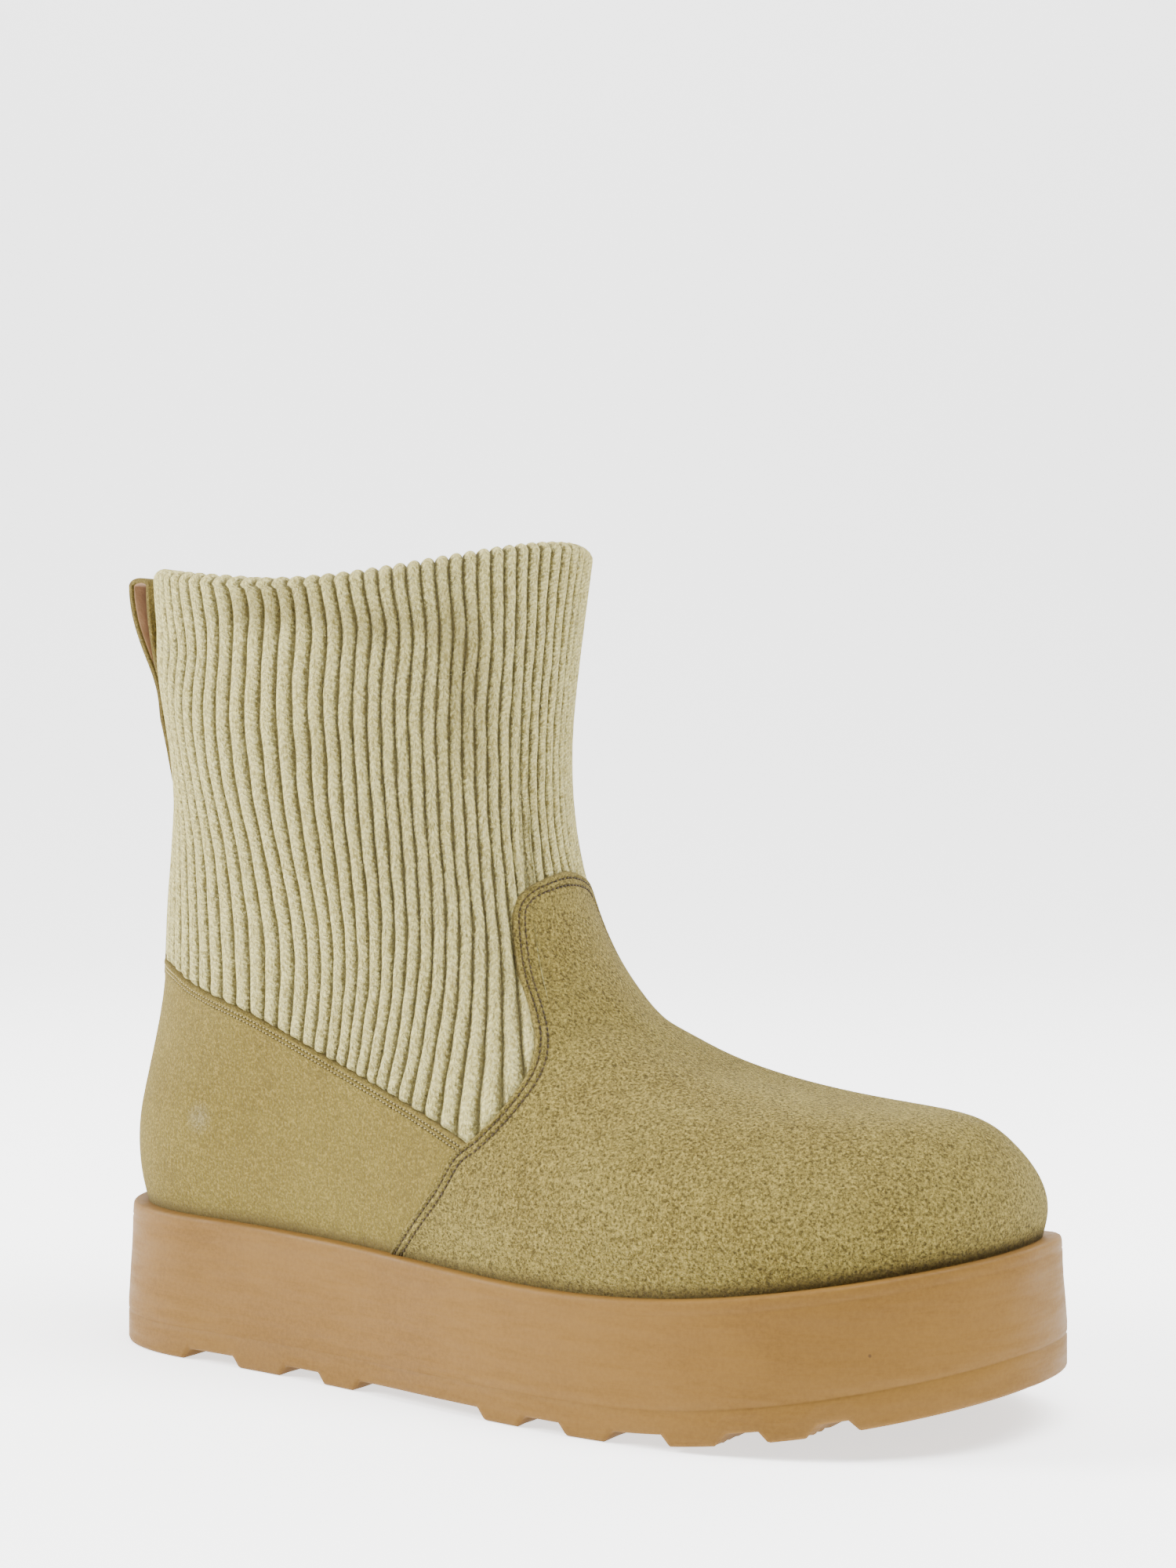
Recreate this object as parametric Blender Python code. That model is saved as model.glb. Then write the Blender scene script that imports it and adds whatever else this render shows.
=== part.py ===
"""A right sweater boot with a ribbed knit shaft, a suede vamp and counter and a high rubber sole.

Metres, +X towards the toe, +Y towards the inner side of the foot, +Z up. The origin is on the
floor, under the middle of the boot's bounding box.
"""

import math

import bmesh
import bpy
import numpy as np
from mathutils import Vector

# Sole
SOLE_LENGTH = 0.285
SOLE_HEEL_WIDTH = 0.078
SOLE_WAIST_WIDTH = 0.0885
SOLE_BALL_WIDTH = 0.1096
SOLE_HEEL_HEIGHT = 0.0419
SOLE_BALL_HEIGHT = 0.0370
SOLE_TOE_HEIGHT = 0.0494
SOLE_FLARE = 0.0015
SOLE_EDGE_RADIUS = 0.0012
TOE_SWING = 0.0165
TOE_SPRING = 0.0141
OUTSOLE_THICKNESS = 0.0092
TREAD_DEPTH = 0.0030
TREAD_SLANT = 0.0024
LEDGE_WIDTH = 0.0030
INSOLE_THICKNESS = 0.004

# Upper
COLLAR_BACK_HEIGHT = 0.231
COLLAR_FRONT_HEIGHT = 0.2345
COLLAR_DIP = 0.0085
SHAFT_DEPTH = 0.1405
SHAFT_WIDTH = 0.0965
KNIT_WALL = 0.003
SUEDE_THICKNESS = 0.0016
SURFACE_GAP = 0.0003

# Back strap and pull loop
STRAP_WIDTH = 0.025
STRAP_THICKNESS = 0.0018
STRAP_TOP_HEIGHT = 0.1990
LOOP_ROOT_HEIGHT = 0.1890
LOOP_TOP_HEIGHT = 0.2305
LOOP_REACH = 0.0098
LOOP_OPENING = 0.0052
LOOP_BAND = 0.0017

# Panels
VAMP_TOP_HEIGHT = 0.1445
VAMP_CROWN = 0.014
COUNTER_TOP_HEIGHT = 0.1150
SEAM_GAP = 0.0006

# Mesh density
SIDE_POINTS = 24
RING_COUNT = 24
SOLE_SIDE_POINTS = 32
DENSE_POINTS = 240
SEAM_POINTS = 40
LOOP_POINTS = 14
CROWN_POINTS = 9
SHARP_DEGREES = 38
WELD = 0.00001
CUTTER_MARGIN = 0.02

# Shares of the sole's length from the heel, and how round its ends are. WAIST_FALL is how much of
# the fall from heel to ball the waist has, and TOE_WIDTH the share of the ball's width at the toe.
HEEL_STATION = 0.14
WAIST_STATION = 0.40
BALL_STATION = 0.66
LOW_STATION = 0.70
WAIST_FALL = 0.57
TOE_WIDTH = 0.93
SOLE_SHAPE = {"heel_cap": 0.15, "toe_cap": 0.27, "heel_round": 2.37, "toe_round": 2.43}
SWING_START = 0.45
SWING_POWER = 1.7
SPRING_START = 0.68
SPRING_POWER = 1.6
EDGE_SHARE = 0.3

# How the collar dips at its sides, as a share of the way up and a power along the section
DIP_START = 0.8
DIP_POWER = 1.25
HEEL_ROUND = 2.0
HEEL_ROUND_LOW = 2.4

# How far up the sections each panel's sock goes before it is trimmed
VAMP_LEVEL = 0.86
COUNTER_LEVEL = 0.70
SLOT_START = 0.15

# The lower sections. back is a share of half the last's length and reach runs from the shaft's
# front, 0, to the toe, 1. The _up columns are shares of the way up to the collar, and the widths
# are shares of the last's widths. follow is how far the section follows the sole's hollow,
# and dome how far its sides fall away from the crest.
FOOT_COLUMNS = (
    "back", "back_up", "reach", "front_up", "heel", "waist", "ball",
    "heel_cap", "toe_cap", "toe_round", "swing", "follow", "dome",
)
FOOT_SECTIONS = (
    (0.992, 0.000, 0.985, 0.000, 1.000, 1.000, 1.000, 0.15, 0.27, 2.40, 1.00, 1.00, 0.00),
    (1.012, 0.053, 0.999, 0.042, 1.030, 1.005, 1.015, 0.15, 0.28, 2.35, 1.00, 0.90, 0.00),
    (1.026, 0.118, 0.986, 0.087, 1.030, 0.980, 0.995, 0.16, 0.31, 2.22, 0.98, 0.60, 0.15),
    (1.020, 0.182, 0.943, 0.130, 1.010, 0.950, 0.930, 0.17, 0.35, 2.08, 0.94, 0.30, 0.45),
    (1.002, 0.257, 0.868, 0.160, 0.995, 0.925, 0.840, 0.19, 0.40, 1.95, 0.88, 0.10, 0.80),
    (0.980, 0.353, 0.722, 0.168, 0.995, 0.915, 0.770, 0.22, 0.45, 1.85, 0.75, 0.00, 1.00),
    (0.970, 0.460, 0.547, 0.181, 1.030, 0.930, 0.745, 0.26, 0.50, 1.78, 0.58, 0.00, 1.00),
)

# The upper sections. width is a share of the shaft's width.
SHAFT_COLUMNS = (
    "back", "back_up", "reach", "front_up", "width",
    "heel_cap", "toe_cap", "toe_round", "swing", "dome",
)
SHAFT_SECTIONS = (
    (0.953, 0.567, 0.376, 0.205, 0.785, 0.32, 0.53, 1.80, 0.40, 0.60),
    (0.937, 0.663, 0.196, 0.262, 0.840, 0.38, 0.54, 1.90, 0.25, 0.20),
    (0.943, 0.749, 0.062, 0.356, 0.890, 0.43, 0.52, 2.00, 0.12, 0.00),
    (0.960, 0.824, -0.007, 0.462, 0.925, 0.46, 0.51, 2.00, 0.05, 0.00),
    (0.972, 0.888, -0.041, 0.570, 0.940, 0.48, 0.50, 2.00, 0.00, 0.00),
    (0.974, 0.931, -0.051, 0.682, 0.948, 0.50, 0.50, 2.00, 0.00, 0.00),
    (0.978, 0.968, -0.037, 0.811, 0.965, 0.50, 0.50, 2.00, 0.00, 0.00),
    (0.978, 1.000, 0.000, 1.000, 1.000, 0.50, 0.50, 2.00, 0.00, 0.00),
)

# Grooves across the tread: where each opens and ends, as shares of the sole's length
TREAD_GROOVES = (
    (0.140, 0.217), (0.271, 0.333), (0.371, 0.544), (0.583, 0.639),
    (0.679, 0.745), (0.787, 0.833), (0.863, 0.904),
)

# The vamp's rear edge in side view, from the shaft's front down to the sole. behind is a share of
# the shaft's depth, and up is a share of the way from the sole to the vamp's top.
VAMP_SEAM = (
    (-0.100, 1.000), (0.000, 1.000), (0.012, 0.988), (0.028, 0.958), (0.040, 0.925),
    (0.041, 0.879), (0.027, 0.800), (0.004, 0.715), (-0.030, 0.633), (-0.050, 0.580),
    (-0.058, 0.535), (-0.058, 0.488), (-0.046, 0.441), (-0.026, 0.399), (0.001, 0.359),
    (0.030, 0.325), (0.068, 0.286), (0.104, 0.211), (0.152, 0.134), (0.196, 0.066),
    (0.240, -0.010), (0.280, -0.090),
)

# The counter's top edge in side view, from the back forwards, in the same way
COUNTER_SEAM = (
    (1.100, 1.000), (1.010, 1.000), (0.885, 0.968), (0.807, 0.922), (0.669, 0.856),
    (0.555, 0.788), (0.459, 0.722), (0.356, 0.652), (0.253, 0.583), (0.148, 0.514),
    (0.058, 0.451), (-0.050, 0.375),
)

# The pull loop from its root up: how far it leans out, and how far its two bands stand apart
LOOP_SECTIONS = (
    (0.00, 0.00, 0.00), (0.15, 0.10, 0.00), (0.30, 0.33, 0.02), (0.42, 0.53, 0.24),
    (0.56, 0.73, 0.55), (0.70, 0.89, 0.80), (0.84, 0.98, 0.96), (0.94, 1.00, 1.00),
)

# Colours, linear: red, green, blue, then roughness
FINISHES = {
    "suede": (0.43, 0.35, 0.18, 0.95),
    "knit": (0.72, 0.66, 0.46, 0.90),
    "rubber": (0.44, 0.29, 0.15, 0.60),
    "lining": (0.60, 0.50, 0.36, 0.90),
}


def smooth(at, known, values):
    """A natural cubic spline through the rows of a table, read at the given places."""
    at, known, values = (np.asarray(given, float) for given in (at, known, values))
    count, step = len(known), np.diff(known)
    system, right = np.eye(count), np.zeros_like(values)
    for i in range(1, count - 1):
        system[i, i - 1 : i + 2] = step[i - 1], 2 * (step[i - 1] + step[i]), step[i]
        slopes = (values[i + 1] - values[i]) / step[i], (values[i] - values[i - 1]) / step[i - 1]
        right[i] = 6 * (slopes[0] - slopes[1])
    bend = np.linalg.solve(system, right)
    i = np.clip(np.searchsorted(known, at, side="right") - 1, 0, count - 2)
    extra = (...,) + (None,) * (values.ndim - 1)
    width = np.asarray(step[i])[extra]
    low = np.asarray(known[i + 1] - at)[extra] / width
    high = 1 - low
    line = low * values[i] + high * values[i + 1]
    curved = (low**3 - low) * bend[i] + (high**3 - high) * bend[i + 1]
    return line + curved * width**2 / 6


def end_caps(share, heel_cap, toe_cap, heel_round, toe_round):
    """The share of its width that an outline has near its two rounded ends."""
    heel = 1 - np.clip(share / heel_cap, 0, 1)
    toe = np.clip((share - (1 - toe_cap)) / toe_cap, 0, 1)
    return (1 - heel**heel_round) ** (1 / heel_round) * (1 - toe**toe_round) ** (1 / toe_round)


def swing_share(station):
    """The toe's turn towards the inner side, 0 at the waist and 1 at the tip."""
    return np.clip((station - SWING_START) / (1 - SWING_START), 0, 1) ** SWING_POWER


def sole_top(x):
    """The height of the sole's top face at a place along the boot."""
    waist = SOLE_HEEL_HEIGHT + WAIST_FALL * (SOLE_BALL_HEIGHT - SOLE_HEEL_HEIGHT)
    known = (0, WAIST_STATION, LOW_STATION, 1)
    heights = (SOLE_HEEL_HEIGHT, waist, SOLE_BALL_HEIGHT, SOLE_TOE_HEIGHT)
    return smooth(np.clip(x / SOLE_LENGTH + 0.5, 0, 1), known, heights)


def sole_bottom(x):
    """The height of the tread's lowest face, which rises at the toe."""
    station = np.clip(x / SOLE_LENGTH + 0.5, 0, 1)
    return TOE_SPRING * np.clip((station - SPRING_START) / (1 - SPRING_START), 0, 1) ** SPRING_POWER


def end_spaced(count):
    """Places from 0 to 1, closer together at both ends."""
    return (1 - np.cos(np.linspace(0, math.pi, count + 1))) / 2


def width_curve(station, heel, waist, ball):
    """The full width along an outline before its ends are rounded."""
    known = (0, HEEL_STATION, WAIST_STATION, BALL_STATION, 1)
    return smooth(station, known, (heel, heel, waist, ball, TOE_WIDTH * ball))


def closed_loop(x, middle, half, z):
    """A loop from the heel's tip along the outer side to the toe's, and back along the inner."""
    outer = np.stack([x, middle - half, z], 1)
    inner = np.stack([x, middle + half, z], 1)
    return np.concatenate([outer, inner[-2:0:-1]])


def sole_outline(inset):
    """The sole's outline in plan, moved inwards by a distance."""
    station = end_spaced(SOLE_SIDE_POINTS)
    half = width_curve(station, SOLE_HEEL_WIDTH, SOLE_WAIST_WIDTH, SOLE_BALL_WIDTH) / 2
    half = half * end_caps(station, **SOLE_SHAPE)
    x = (station - 0.5) * SOLE_LENGTH
    return inward(closed_loop(x, TOE_SWING * swing_share(station), half, 0 * x), inset)


def inward(loop, distance):
    """The loop moved inwards in plan by a distance."""
    along = np.roll(loop, -1, 0) - np.roll(loop, 1, 0)
    across = np.stack([-along[:, 1], along[:, 0], 0 * along[:, 0]], 1)
    return loop + distance * across / np.linalg.norm(across, axis=1)[:, None]


def section_rows():
    """Every section of the upper in metres, one row each, from the sole to the collar."""
    margin = LEDGE_WIDTH + SUEDE_THICKNESS + SURFACE_GAP
    half_length = SOLE_LENGTH / 2 - margin
    toe_x, collar_back = half_length, -half_length * SHAFT_SECTIONS[-1][0]
    shaft_front = collar_back + SHAFT_DEPTH
    base_back = SOLE_HEEL_HEIGHT + SURFACE_GAP
    base_front = SOLE_TOE_HEIGHT + SURFACE_GAP
    widths = [w - 2 * margin for w in (SOLE_HEEL_WIDTH, SOLE_WAIST_WIDTH, SOLE_BALL_WIDTH)]
    rows = []
    for values in FOOT_SECTIONS + SHAFT_SECTIONS:
        on_foot = len(values) == len(FOOT_COLUMNS)
        row = dict(zip(FOOT_COLUMNS if on_foot else SHAFT_COLUMNS, values))
        if on_foot:
            wide = [width * row[key] for width, key in zip(widths, ("heel", "waist", "ball"))]
        else:
            wide = [SHAFT_WIDTH * row["width"]] * 3
        rows.append([
            -half_length * row["back"],
            base_back + (COLLAR_BACK_HEIGHT - base_back) * row["back_up"],
            shaft_front + (toe_x - shaft_front) * row["reach"],
            base_front + (COLLAR_FRONT_HEIGHT - base_front) * row["front_up"],
            *wide,
            row["heel_cap"],
            row["toe_cap"],
            row["toe_round"],
            TOE_SWING * row["swing"],
            row.get("follow", 0.0),
            COLLAR_DIP * max(0.0, (row["back_up"] - DIP_START) / (1 - DIP_START)),
            VAMP_CROWN * row["dome"],
        ])
    return np.array(rows)


def section_loop(row, side_points):
    """One closed section of the upper, spaced evenly along each side."""
    (back_x, back_z, front_x, front_z, heel, waist, ball,
     heel_cap, toe_cap, toe_round, swing, follow, dip, dome) = row
    share = end_spaced(DENSE_POINTS)
    half = width_curve(share, heel, waist, ball) / 2
    heel_round = HEEL_ROUND + (HEEL_ROUND_LOW - HEEL_ROUND) * follow
    half = half * end_caps(share, heel_cap, toe_cap, heel_round, toe_round)
    x = back_x + (front_x - back_x) * share
    z = back_z + (front_z - back_z) * share
    straight = SOLE_HEEL_HEIGHT + (SOLE_TOE_HEIGHT - SOLE_HEEL_HEIGHT) * (x / SOLE_LENGTH + 0.5)
    z = z + follow * (sole_top(x) - straight) - dip * np.sin(math.pi * share**DIP_POWER)
    z = z - dome * (2 * half / SOLE_BALL_WIDTH) ** 2
    middle = swing * swing_share(share)
    sides = []
    for sign in (-1, 1):
        side = np.stack([x, middle + sign * half, z], 1)
        length = np.concatenate([[0], np.cumsum(np.linalg.norm(np.diff(side, axis=0), axis=1))])
        places = np.linspace(0, length[-1], side_points + 1)
        sides.append(np.stack([np.interp(places, length, side[:, k]) for k in range(3)], 1))
    return np.concatenate([sides[0], sides[1][-2:0:-1]])


def upper_grid(levels, side_points):
    """Rings of points on the knit's outer face, and the direction out of it at each."""
    table = section_rows()
    rows = smooth(levels * (len(table) - 1), np.arange(len(table)), table)
    grid = np.array([section_loop(row, side_points) for row in rows])
    around = np.roll(grid, -1, 1) - np.roll(grid, 1, 1)
    upward = np.gradient(grid, axis=0)
    out = np.cross(around, upward)
    for end in (0, -1):
        if levels[end] in (0.0, 1.0):
            out[end, :, 2] = 0
    return grid, out / np.linalg.norm(out, axis=2, keepdims=True)


def solid(name, points, faces, material, collection):
    """An object from points and faces, shaded smooth away from its sharp edges."""
    mesh = bpy.data.meshes.new(name)
    bm = bmesh.new()
    verts = [bm.verts.new(point) for point in points]
    for face in faces:
        bm.faces.new([verts[i] for i in face])
    bmesh.ops.triangulate(bm, faces=[f for f in bm.faces if len(f.verts) > 3])
    bm.to_mesh(mesh)
    bm.free()
    mesh.materials.append(material)
    mesh.shade_smooth()
    mesh.set_sharp_from_angle(angle=math.radians(SHARP_DEGREES))
    thing = bpy.data.objects.new(name, mesh)
    collection.objects.link(thing)
    return thing


def band(low, high, count, rising):
    """The triangles between two loops, with the same diagonals on a wall's two faces."""
    faces = []
    for i in range(count):
        j = (i + 1) % count
        a, b, c, d = low + i, low + j, high + j, high + i
        faces += [(a, b, c), (a, c, d)] if rising else [(a, b, d), (b, c, d)]
    return faces


def slab(name, loops, material, collection):
    """A solid through stacked loops, closed by strips across its bottom and top."""
    count = len(loops[0])
    faces = []
    for k in range(len(loops) - 1):
        faces += band(k * count, (k + 1) * count, count, True)
    last = (len(loops) - 1) * count
    for i in range(count // 2):
        strip = [i, i + 1, (count - i - 1) % count, (count - i) % count]
        strip = list(dict.fromkeys(strip))
        faces += [strip[::-1], [last + k for k in strip]]
    return solid(name, np.concatenate(loops), faces, material, collection)


def wall(name, outer, inner, material, collection):
    """An open sock between an outer and an inner face, each given as rings."""
    count, rings = len(outer[0]), len(outer)
    loops = np.concatenate([outer, inner[::-1]])
    faces = []
    for k in range(2 * rings):
        after = (k + 1) % (2 * rings)
        faces += band(k * count, after * count, count, k < rings)
    return solid(name, loops.reshape(-1, 3), faces, material, collection)


def prism(name, outlines, half_width, collection):
    """A flat outline in the boot's side view, thickened across the boot, as a mesh."""
    curve = bpy.data.curves.new(name, "CURVE")
    curve.dimensions = "2D"
    curve.fill_mode = "BOTH"
    curve.extrude = half_width
    for outline in outlines:
        spline = curve.splines.new("POLY")
        spline.points.add(len(outline) - 1)
        for point, (x, z) in zip(spline.points, outline):
            point.co = (x, z, 0, 1)
        spline.use_cyclic_u = True
    guide = bpy.data.objects.new(name + "_outline", curve)
    collection.objects.link(guide)
    guide.rotation_euler = (math.radians(90), 0, 0)
    bpy.context.view_layer.update()
    graph = bpy.context.evaluated_depsgraph_get()
    mesh = bpy.data.meshes.new_from_object(guide.evaluated_get(graph))
    bm = bmesh.new()
    bm.from_mesh(mesh)
    bmesh.ops.remove_doubles(bm, verts=bm.verts, dist=WELD)
    bmesh.ops.recalc_face_normals(bm, faces=bm.faces)
    bm.to_mesh(mesh)
    bm.free()
    thing = bpy.data.objects.new(name, mesh)
    thing.matrix_world = guide.matrix_world
    collection.objects.link(thing)
    bpy.data.objects.remove(guide)
    return thing


def cut(thing, cutter, operation):
    """Cuts or trims an object with another, which stays as a hidden guide."""
    cutter.hide_render = True
    cutter.display_type = "WIRE"
    modifier = thing.modifiers.new(cutter.name, "BOOLEAN")
    modifier.operation = operation
    modifier.object = cutter


def shaft_front():
    """Where the front of the collar is along the boot."""
    return section_rows()[-1][2]


def seam(table, top_height):
    """A seam in side view, as a smooth line of places along the boot and heights."""
    base = sole_top(0.0)
    rows = np.array(table)
    known = np.arange(len(rows))
    fine = smooth(np.linspace(0, known[-1], SEAM_POINTS), known, rows)
    return np.stack([shaft_front() - fine[:, 0] * SHAFT_DEPTH, base + fine[:, 1] * (top_height - base)], 1)


def vamp_outline(backwards):
    """The side view of everything ahead of the vamp's rear edge, moved back by a distance."""
    line = seam(VAMP_SEAM, VAMP_TOP_HEIGHT) - (backwards, 0)
    ahead = SOLE_LENGTH / 2 + CUTTER_MARGIN
    corners = [(line[-1][0], -CUTTER_MARGIN), (ahead, -CUTTER_MARGIN), (ahead, line[0][1])]
    return np.concatenate([line, corners])


def counter_outline(upwards):
    """The side view of everything under the counter's top edge, moved up by a distance."""
    line = seam(COUNTER_SEAM, COUNTER_TOP_HEIGHT) + (0, upwards)
    behind = -SOLE_LENGTH / 2 - CUTTER_MARGIN
    corners = [(line[-1][0], -CUTTER_MARGIN), (behind, -CUTTER_MARGIN), (behind, line[0][1])]
    return np.concatenate([line, corners])


def tread_outlines():
    """The side view of each groove, with slanted ends and a floor that follows the toe spring."""
    outlines = []
    for start, end in TREAD_GROOVES:
        low = [(share - 0.5) * SOLE_LENGTH for share in (start, end)]
        high = [low[0] + TREAD_SLANT, low[1] - TREAD_SLANT]
        outlines.append([
            (low[0] - TREAD_SLANT, sole_bottom(low[0]) - TREAD_DEPTH),
            (low[1] + TREAD_SLANT, sole_bottom(low[1]) - TREAD_DEPTH),
            (high[1], sole_bottom(high[1]) + TREAD_DEPTH),
            (high[0], sole_bottom(high[0]) + TREAD_DEPTH),
        ])
    return outlines


def at_height(loop, height):
    """The loop with its points raised to a height that depends on the place along the boot."""
    return np.column_stack([loop[:, 0], loop[:, 1], height(loop[:, 0])])


def make_sole(parts, guides, rubber):
    """The tread's layer with its grooves, and the layer over it up to the ledge."""
    split = lambda x: sole_bottom(x) + OUTSOLE_THICKNESS
    corner = EDGE_SHARE * SOLE_EDGE_RADIUS
    foot, rim = sole_outline(-SOLE_FLARE), sole_outline(0.0)
    shoulder, flat = sole_outline(corner), sole_outline(SOLE_EDGE_RADIUS)
    outsole = slab("outsole", [at_height(foot, sole_bottom), at_height(foot, split)], rubber, parts)
    grooves = prism("tread_grooves", tread_outlines(), SOLE_BALL_WIDTH, guides)
    cut(outsole, grooves, "DIFFERENCE")
    slab("midsole", [
        at_height(foot, lambda x: split(x) + SURFACE_GAP),
        at_height(rim, lambda x: sole_top(x) - SOLE_EDGE_RADIUS),
        at_height(shoulder, lambda x: sole_top(x) - corner),
        at_height(flat, sole_top),
    ], rubber, parts)


def make_upper(parts, knit):
    """The knit sock, open at the collar and underneath."""
    levels = np.linspace(0, 1, RING_COUNT + 1)
    grid, out = upper_grid(levels, SIDE_POINTS)
    wall("upper", grid, grid - KNIT_WALL * out, knit, parts)


def overlay(name, thickness, top_level, material, collection):
    """A sock of one thickness over the knit's outer face, to be trimmed to a panel."""
    levels = np.linspace(0, 1, RING_COUNT + 1)
    grid, out = upper_grid(levels, SIDE_POINTS)
    used = levels <= top_level
    outer = grid + (SURFACE_GAP + thickness) * out
    inner = grid + SURFACE_GAP * out
    return wall(name, outer[used], inner[used], material, collection)


def make_panels(parts, guides, suede):
    """The vamp and the heel counter, which meet along the vamp's rear edge."""
    half_span = SOLE_BALL_WIDTH
    vamp = overlay("vamp", SUEDE_THICKNESS, VAMP_LEVEL, suede, parts)
    cut(vamp, prism("vamp_guide", [vamp_outline(0.0)], half_span, guides), "INTERSECT")
    counter = overlay("heel_counter", SUEDE_THICKNESS, COUNTER_LEVEL, suede, parts)
    cut(counter, prism("counter_guide", [counter_outline(0.0)], half_span, guides), "INTERSECT")
    cut(counter, prism("vamp_clearance", [vamp_outline(SEAM_GAP)], half_span, guides), "DIFFERENCE")


def make_strap(parts, guides, suede):
    """The strip up the back of the shaft, from the counter to under the pull loop."""
    strap = overlay("back_strap", STRAP_THICKNESS, 1.0, suede, parts)
    middle = shaft_front() - SHAFT_DEPTH / 2
    behind = -SOLE_LENGTH / 2 - CUTTER_MARGIN
    above_counter = counter_outline(SEAM_GAP)
    foot = above_counter[0][1]
    side = [(behind, foot), (middle, foot), (middle, STRAP_TOP_HEIGHT), (behind, STRAP_TOP_HEIGHT)]
    cut(strap, prism("strap_guide", [side], STRAP_WIDTH / 2, guides), "INTERSECT")
    cut(strap, prism("counter_clearance", [above_counter], SOLE_BALL_WIDTH, guides), "DIFFERENCE")


def make_loop(parts, suede):
    """A band folded over and stitched down on the back strap, open from side to side."""
    grid, _ = upper_grid(np.linspace(0, 1, RING_COUNT + 1), SIDE_POINTS)
    spine = grid[:, 0]
    known = np.arange(len(LOOP_SECTIONS))
    up, lean, apart = smooth(np.linspace(0, known[-1], LOOP_POINTS), known, LOOP_SECTIONS).T
    z = LOOP_ROOT_HEIGHT + (LOOP_TOP_HEIGHT - LOOP_ROOT_HEIGHT) * up
    seat = np.interp(LOOP_ROOT_HEIGHT, spine[:, 2], spine[:, 0]) - STRAP_THICKNESS - 2 * SURFACE_GAP
    half_slot = np.clip(apart, 0, 1) * LOOP_OPENING / 2
    middle = seat - LOOP_BAND - LOOP_REACH * lean
    knit_side = middle + half_slot + LOOP_BAND
    far_side = middle - half_slot - LOOP_BAND
    radius = half_slot[-1] + LOOP_BAND
    turn = np.linspace(0, math.pi, CROWN_POINTS)
    crown = LOOP_TOP_HEIGHT - z[-1]
    top = np.stack([middle[-1] + radius * np.cos(turn), z[-1] + crown * np.sin(turn)], 1)
    outline = np.concatenate([
        np.stack([knit_side, z], 1)[:-1], top, np.stack([far_side, z], 1)[-2::-1],
    ])
    opened = half_slot > SLOT_START * LOOP_BAND
    inside = np.stack([middle[-1] + half_slot[-1] * np.cos(turn),
                       z[-1] + (crown - LOOP_BAND) * np.sin(turn)], 1)
    hole = np.concatenate([
        np.stack([middle + half_slot, z], 1)[opened][:-1], inside,
        np.stack([middle - half_slot, z], 1)[opened][-2::-1],
    ])
    loop = prism("pull_loop", [outline, hole], STRAP_WIDTH / 2, parts)
    loop.data.materials.append(suede)
    loop.data.shade_smooth()
    loop.data.set_sharp_from_angle(angle=math.radians(SHARP_DEGREES))
    return loop


def settle(parts, guides):
    """Hangs every piece on one empty, which puts the origin under the middle of the boot."""
    bpy.context.view_layer.update()
    graph = bpy.context.evaluated_depsgraph_get()
    corners = []
    for thing in parts.objects:
        ready = thing.evaluated_get(graph)
        corners += [ready.matrix_world @ Vector(corner) for corner in ready.bound_box]
    low, high = np.min(corners, axis=0), np.max(corners, axis=0)
    frame = bpy.data.objects.new("frame", None)
    parts.objects.link(frame)
    for thing in [*parts.objects, *guides.objects]:
        if thing is not frame:
            thing.parent = frame
    frame.location = (-(low[0] + high[0]) / 2, -(low[1] + high[1]) / 2, -low[2])


def make_insole(parts, lining):
    """The flat bed that lies on the sole inside the sock."""
    grid, _ = upper_grid(np.array([0.0, 0.5, 1.0]), SIDE_POINTS)
    base = inward(grid[0], KNIT_WALL + 2 * SURFACE_GAP)
    heights = (SURFACE_GAP, INSOLE_THICKNESS)
    slab("insole", [at_height(base, lambda x, h=h: sole_top(x) + h) for h in heights], lining, parts)


def make_material(name):
    red, green, blue, roughness = FINISHES[name]
    material = bpy.data.materials.new(name)
    material.use_nodes = True
    shader = material.node_tree.nodes["Principled BSDF"]
    shader.inputs["Base Color"].default_value = (red, green, blue, 1)
    shader.inputs["Roughness"].default_value = roughness
    shader.inputs["Metallic"].default_value = 0.0
    material.diffuse_color = (red, green, blue, 1)
    return material


def main():
    for thing in list(bpy.data.objects):
        bpy.data.objects.remove(thing)
    parts = bpy.data.collections.new("sweater_boot")
    guides = bpy.data.collections.new("cutters")
    for collection in (parts, guides):
        bpy.context.scene.collection.children.link(collection)
    finish = {name: make_material(name) for name in FINISHES}
    make_sole(parts, guides, finish["rubber"])
    make_upper(parts, finish["knit"])
    make_insole(parts, finish["lining"])
    make_panels(parts, guides, finish["suede"])
    make_strap(parts, guides, finish["suede"])
    make_loop(parts, finish["suede"])
    settle(parts, guides)


if __name__ == "__main__":
    main()
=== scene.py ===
"""Looks of a right sweater boot: ribbed knit shaft, suede vamp and counter, tan rubber sole."""

import math

import bmesh
import bpy
import numpy as np
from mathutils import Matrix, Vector
from mathutils.bvhtree import BVHTree


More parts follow.
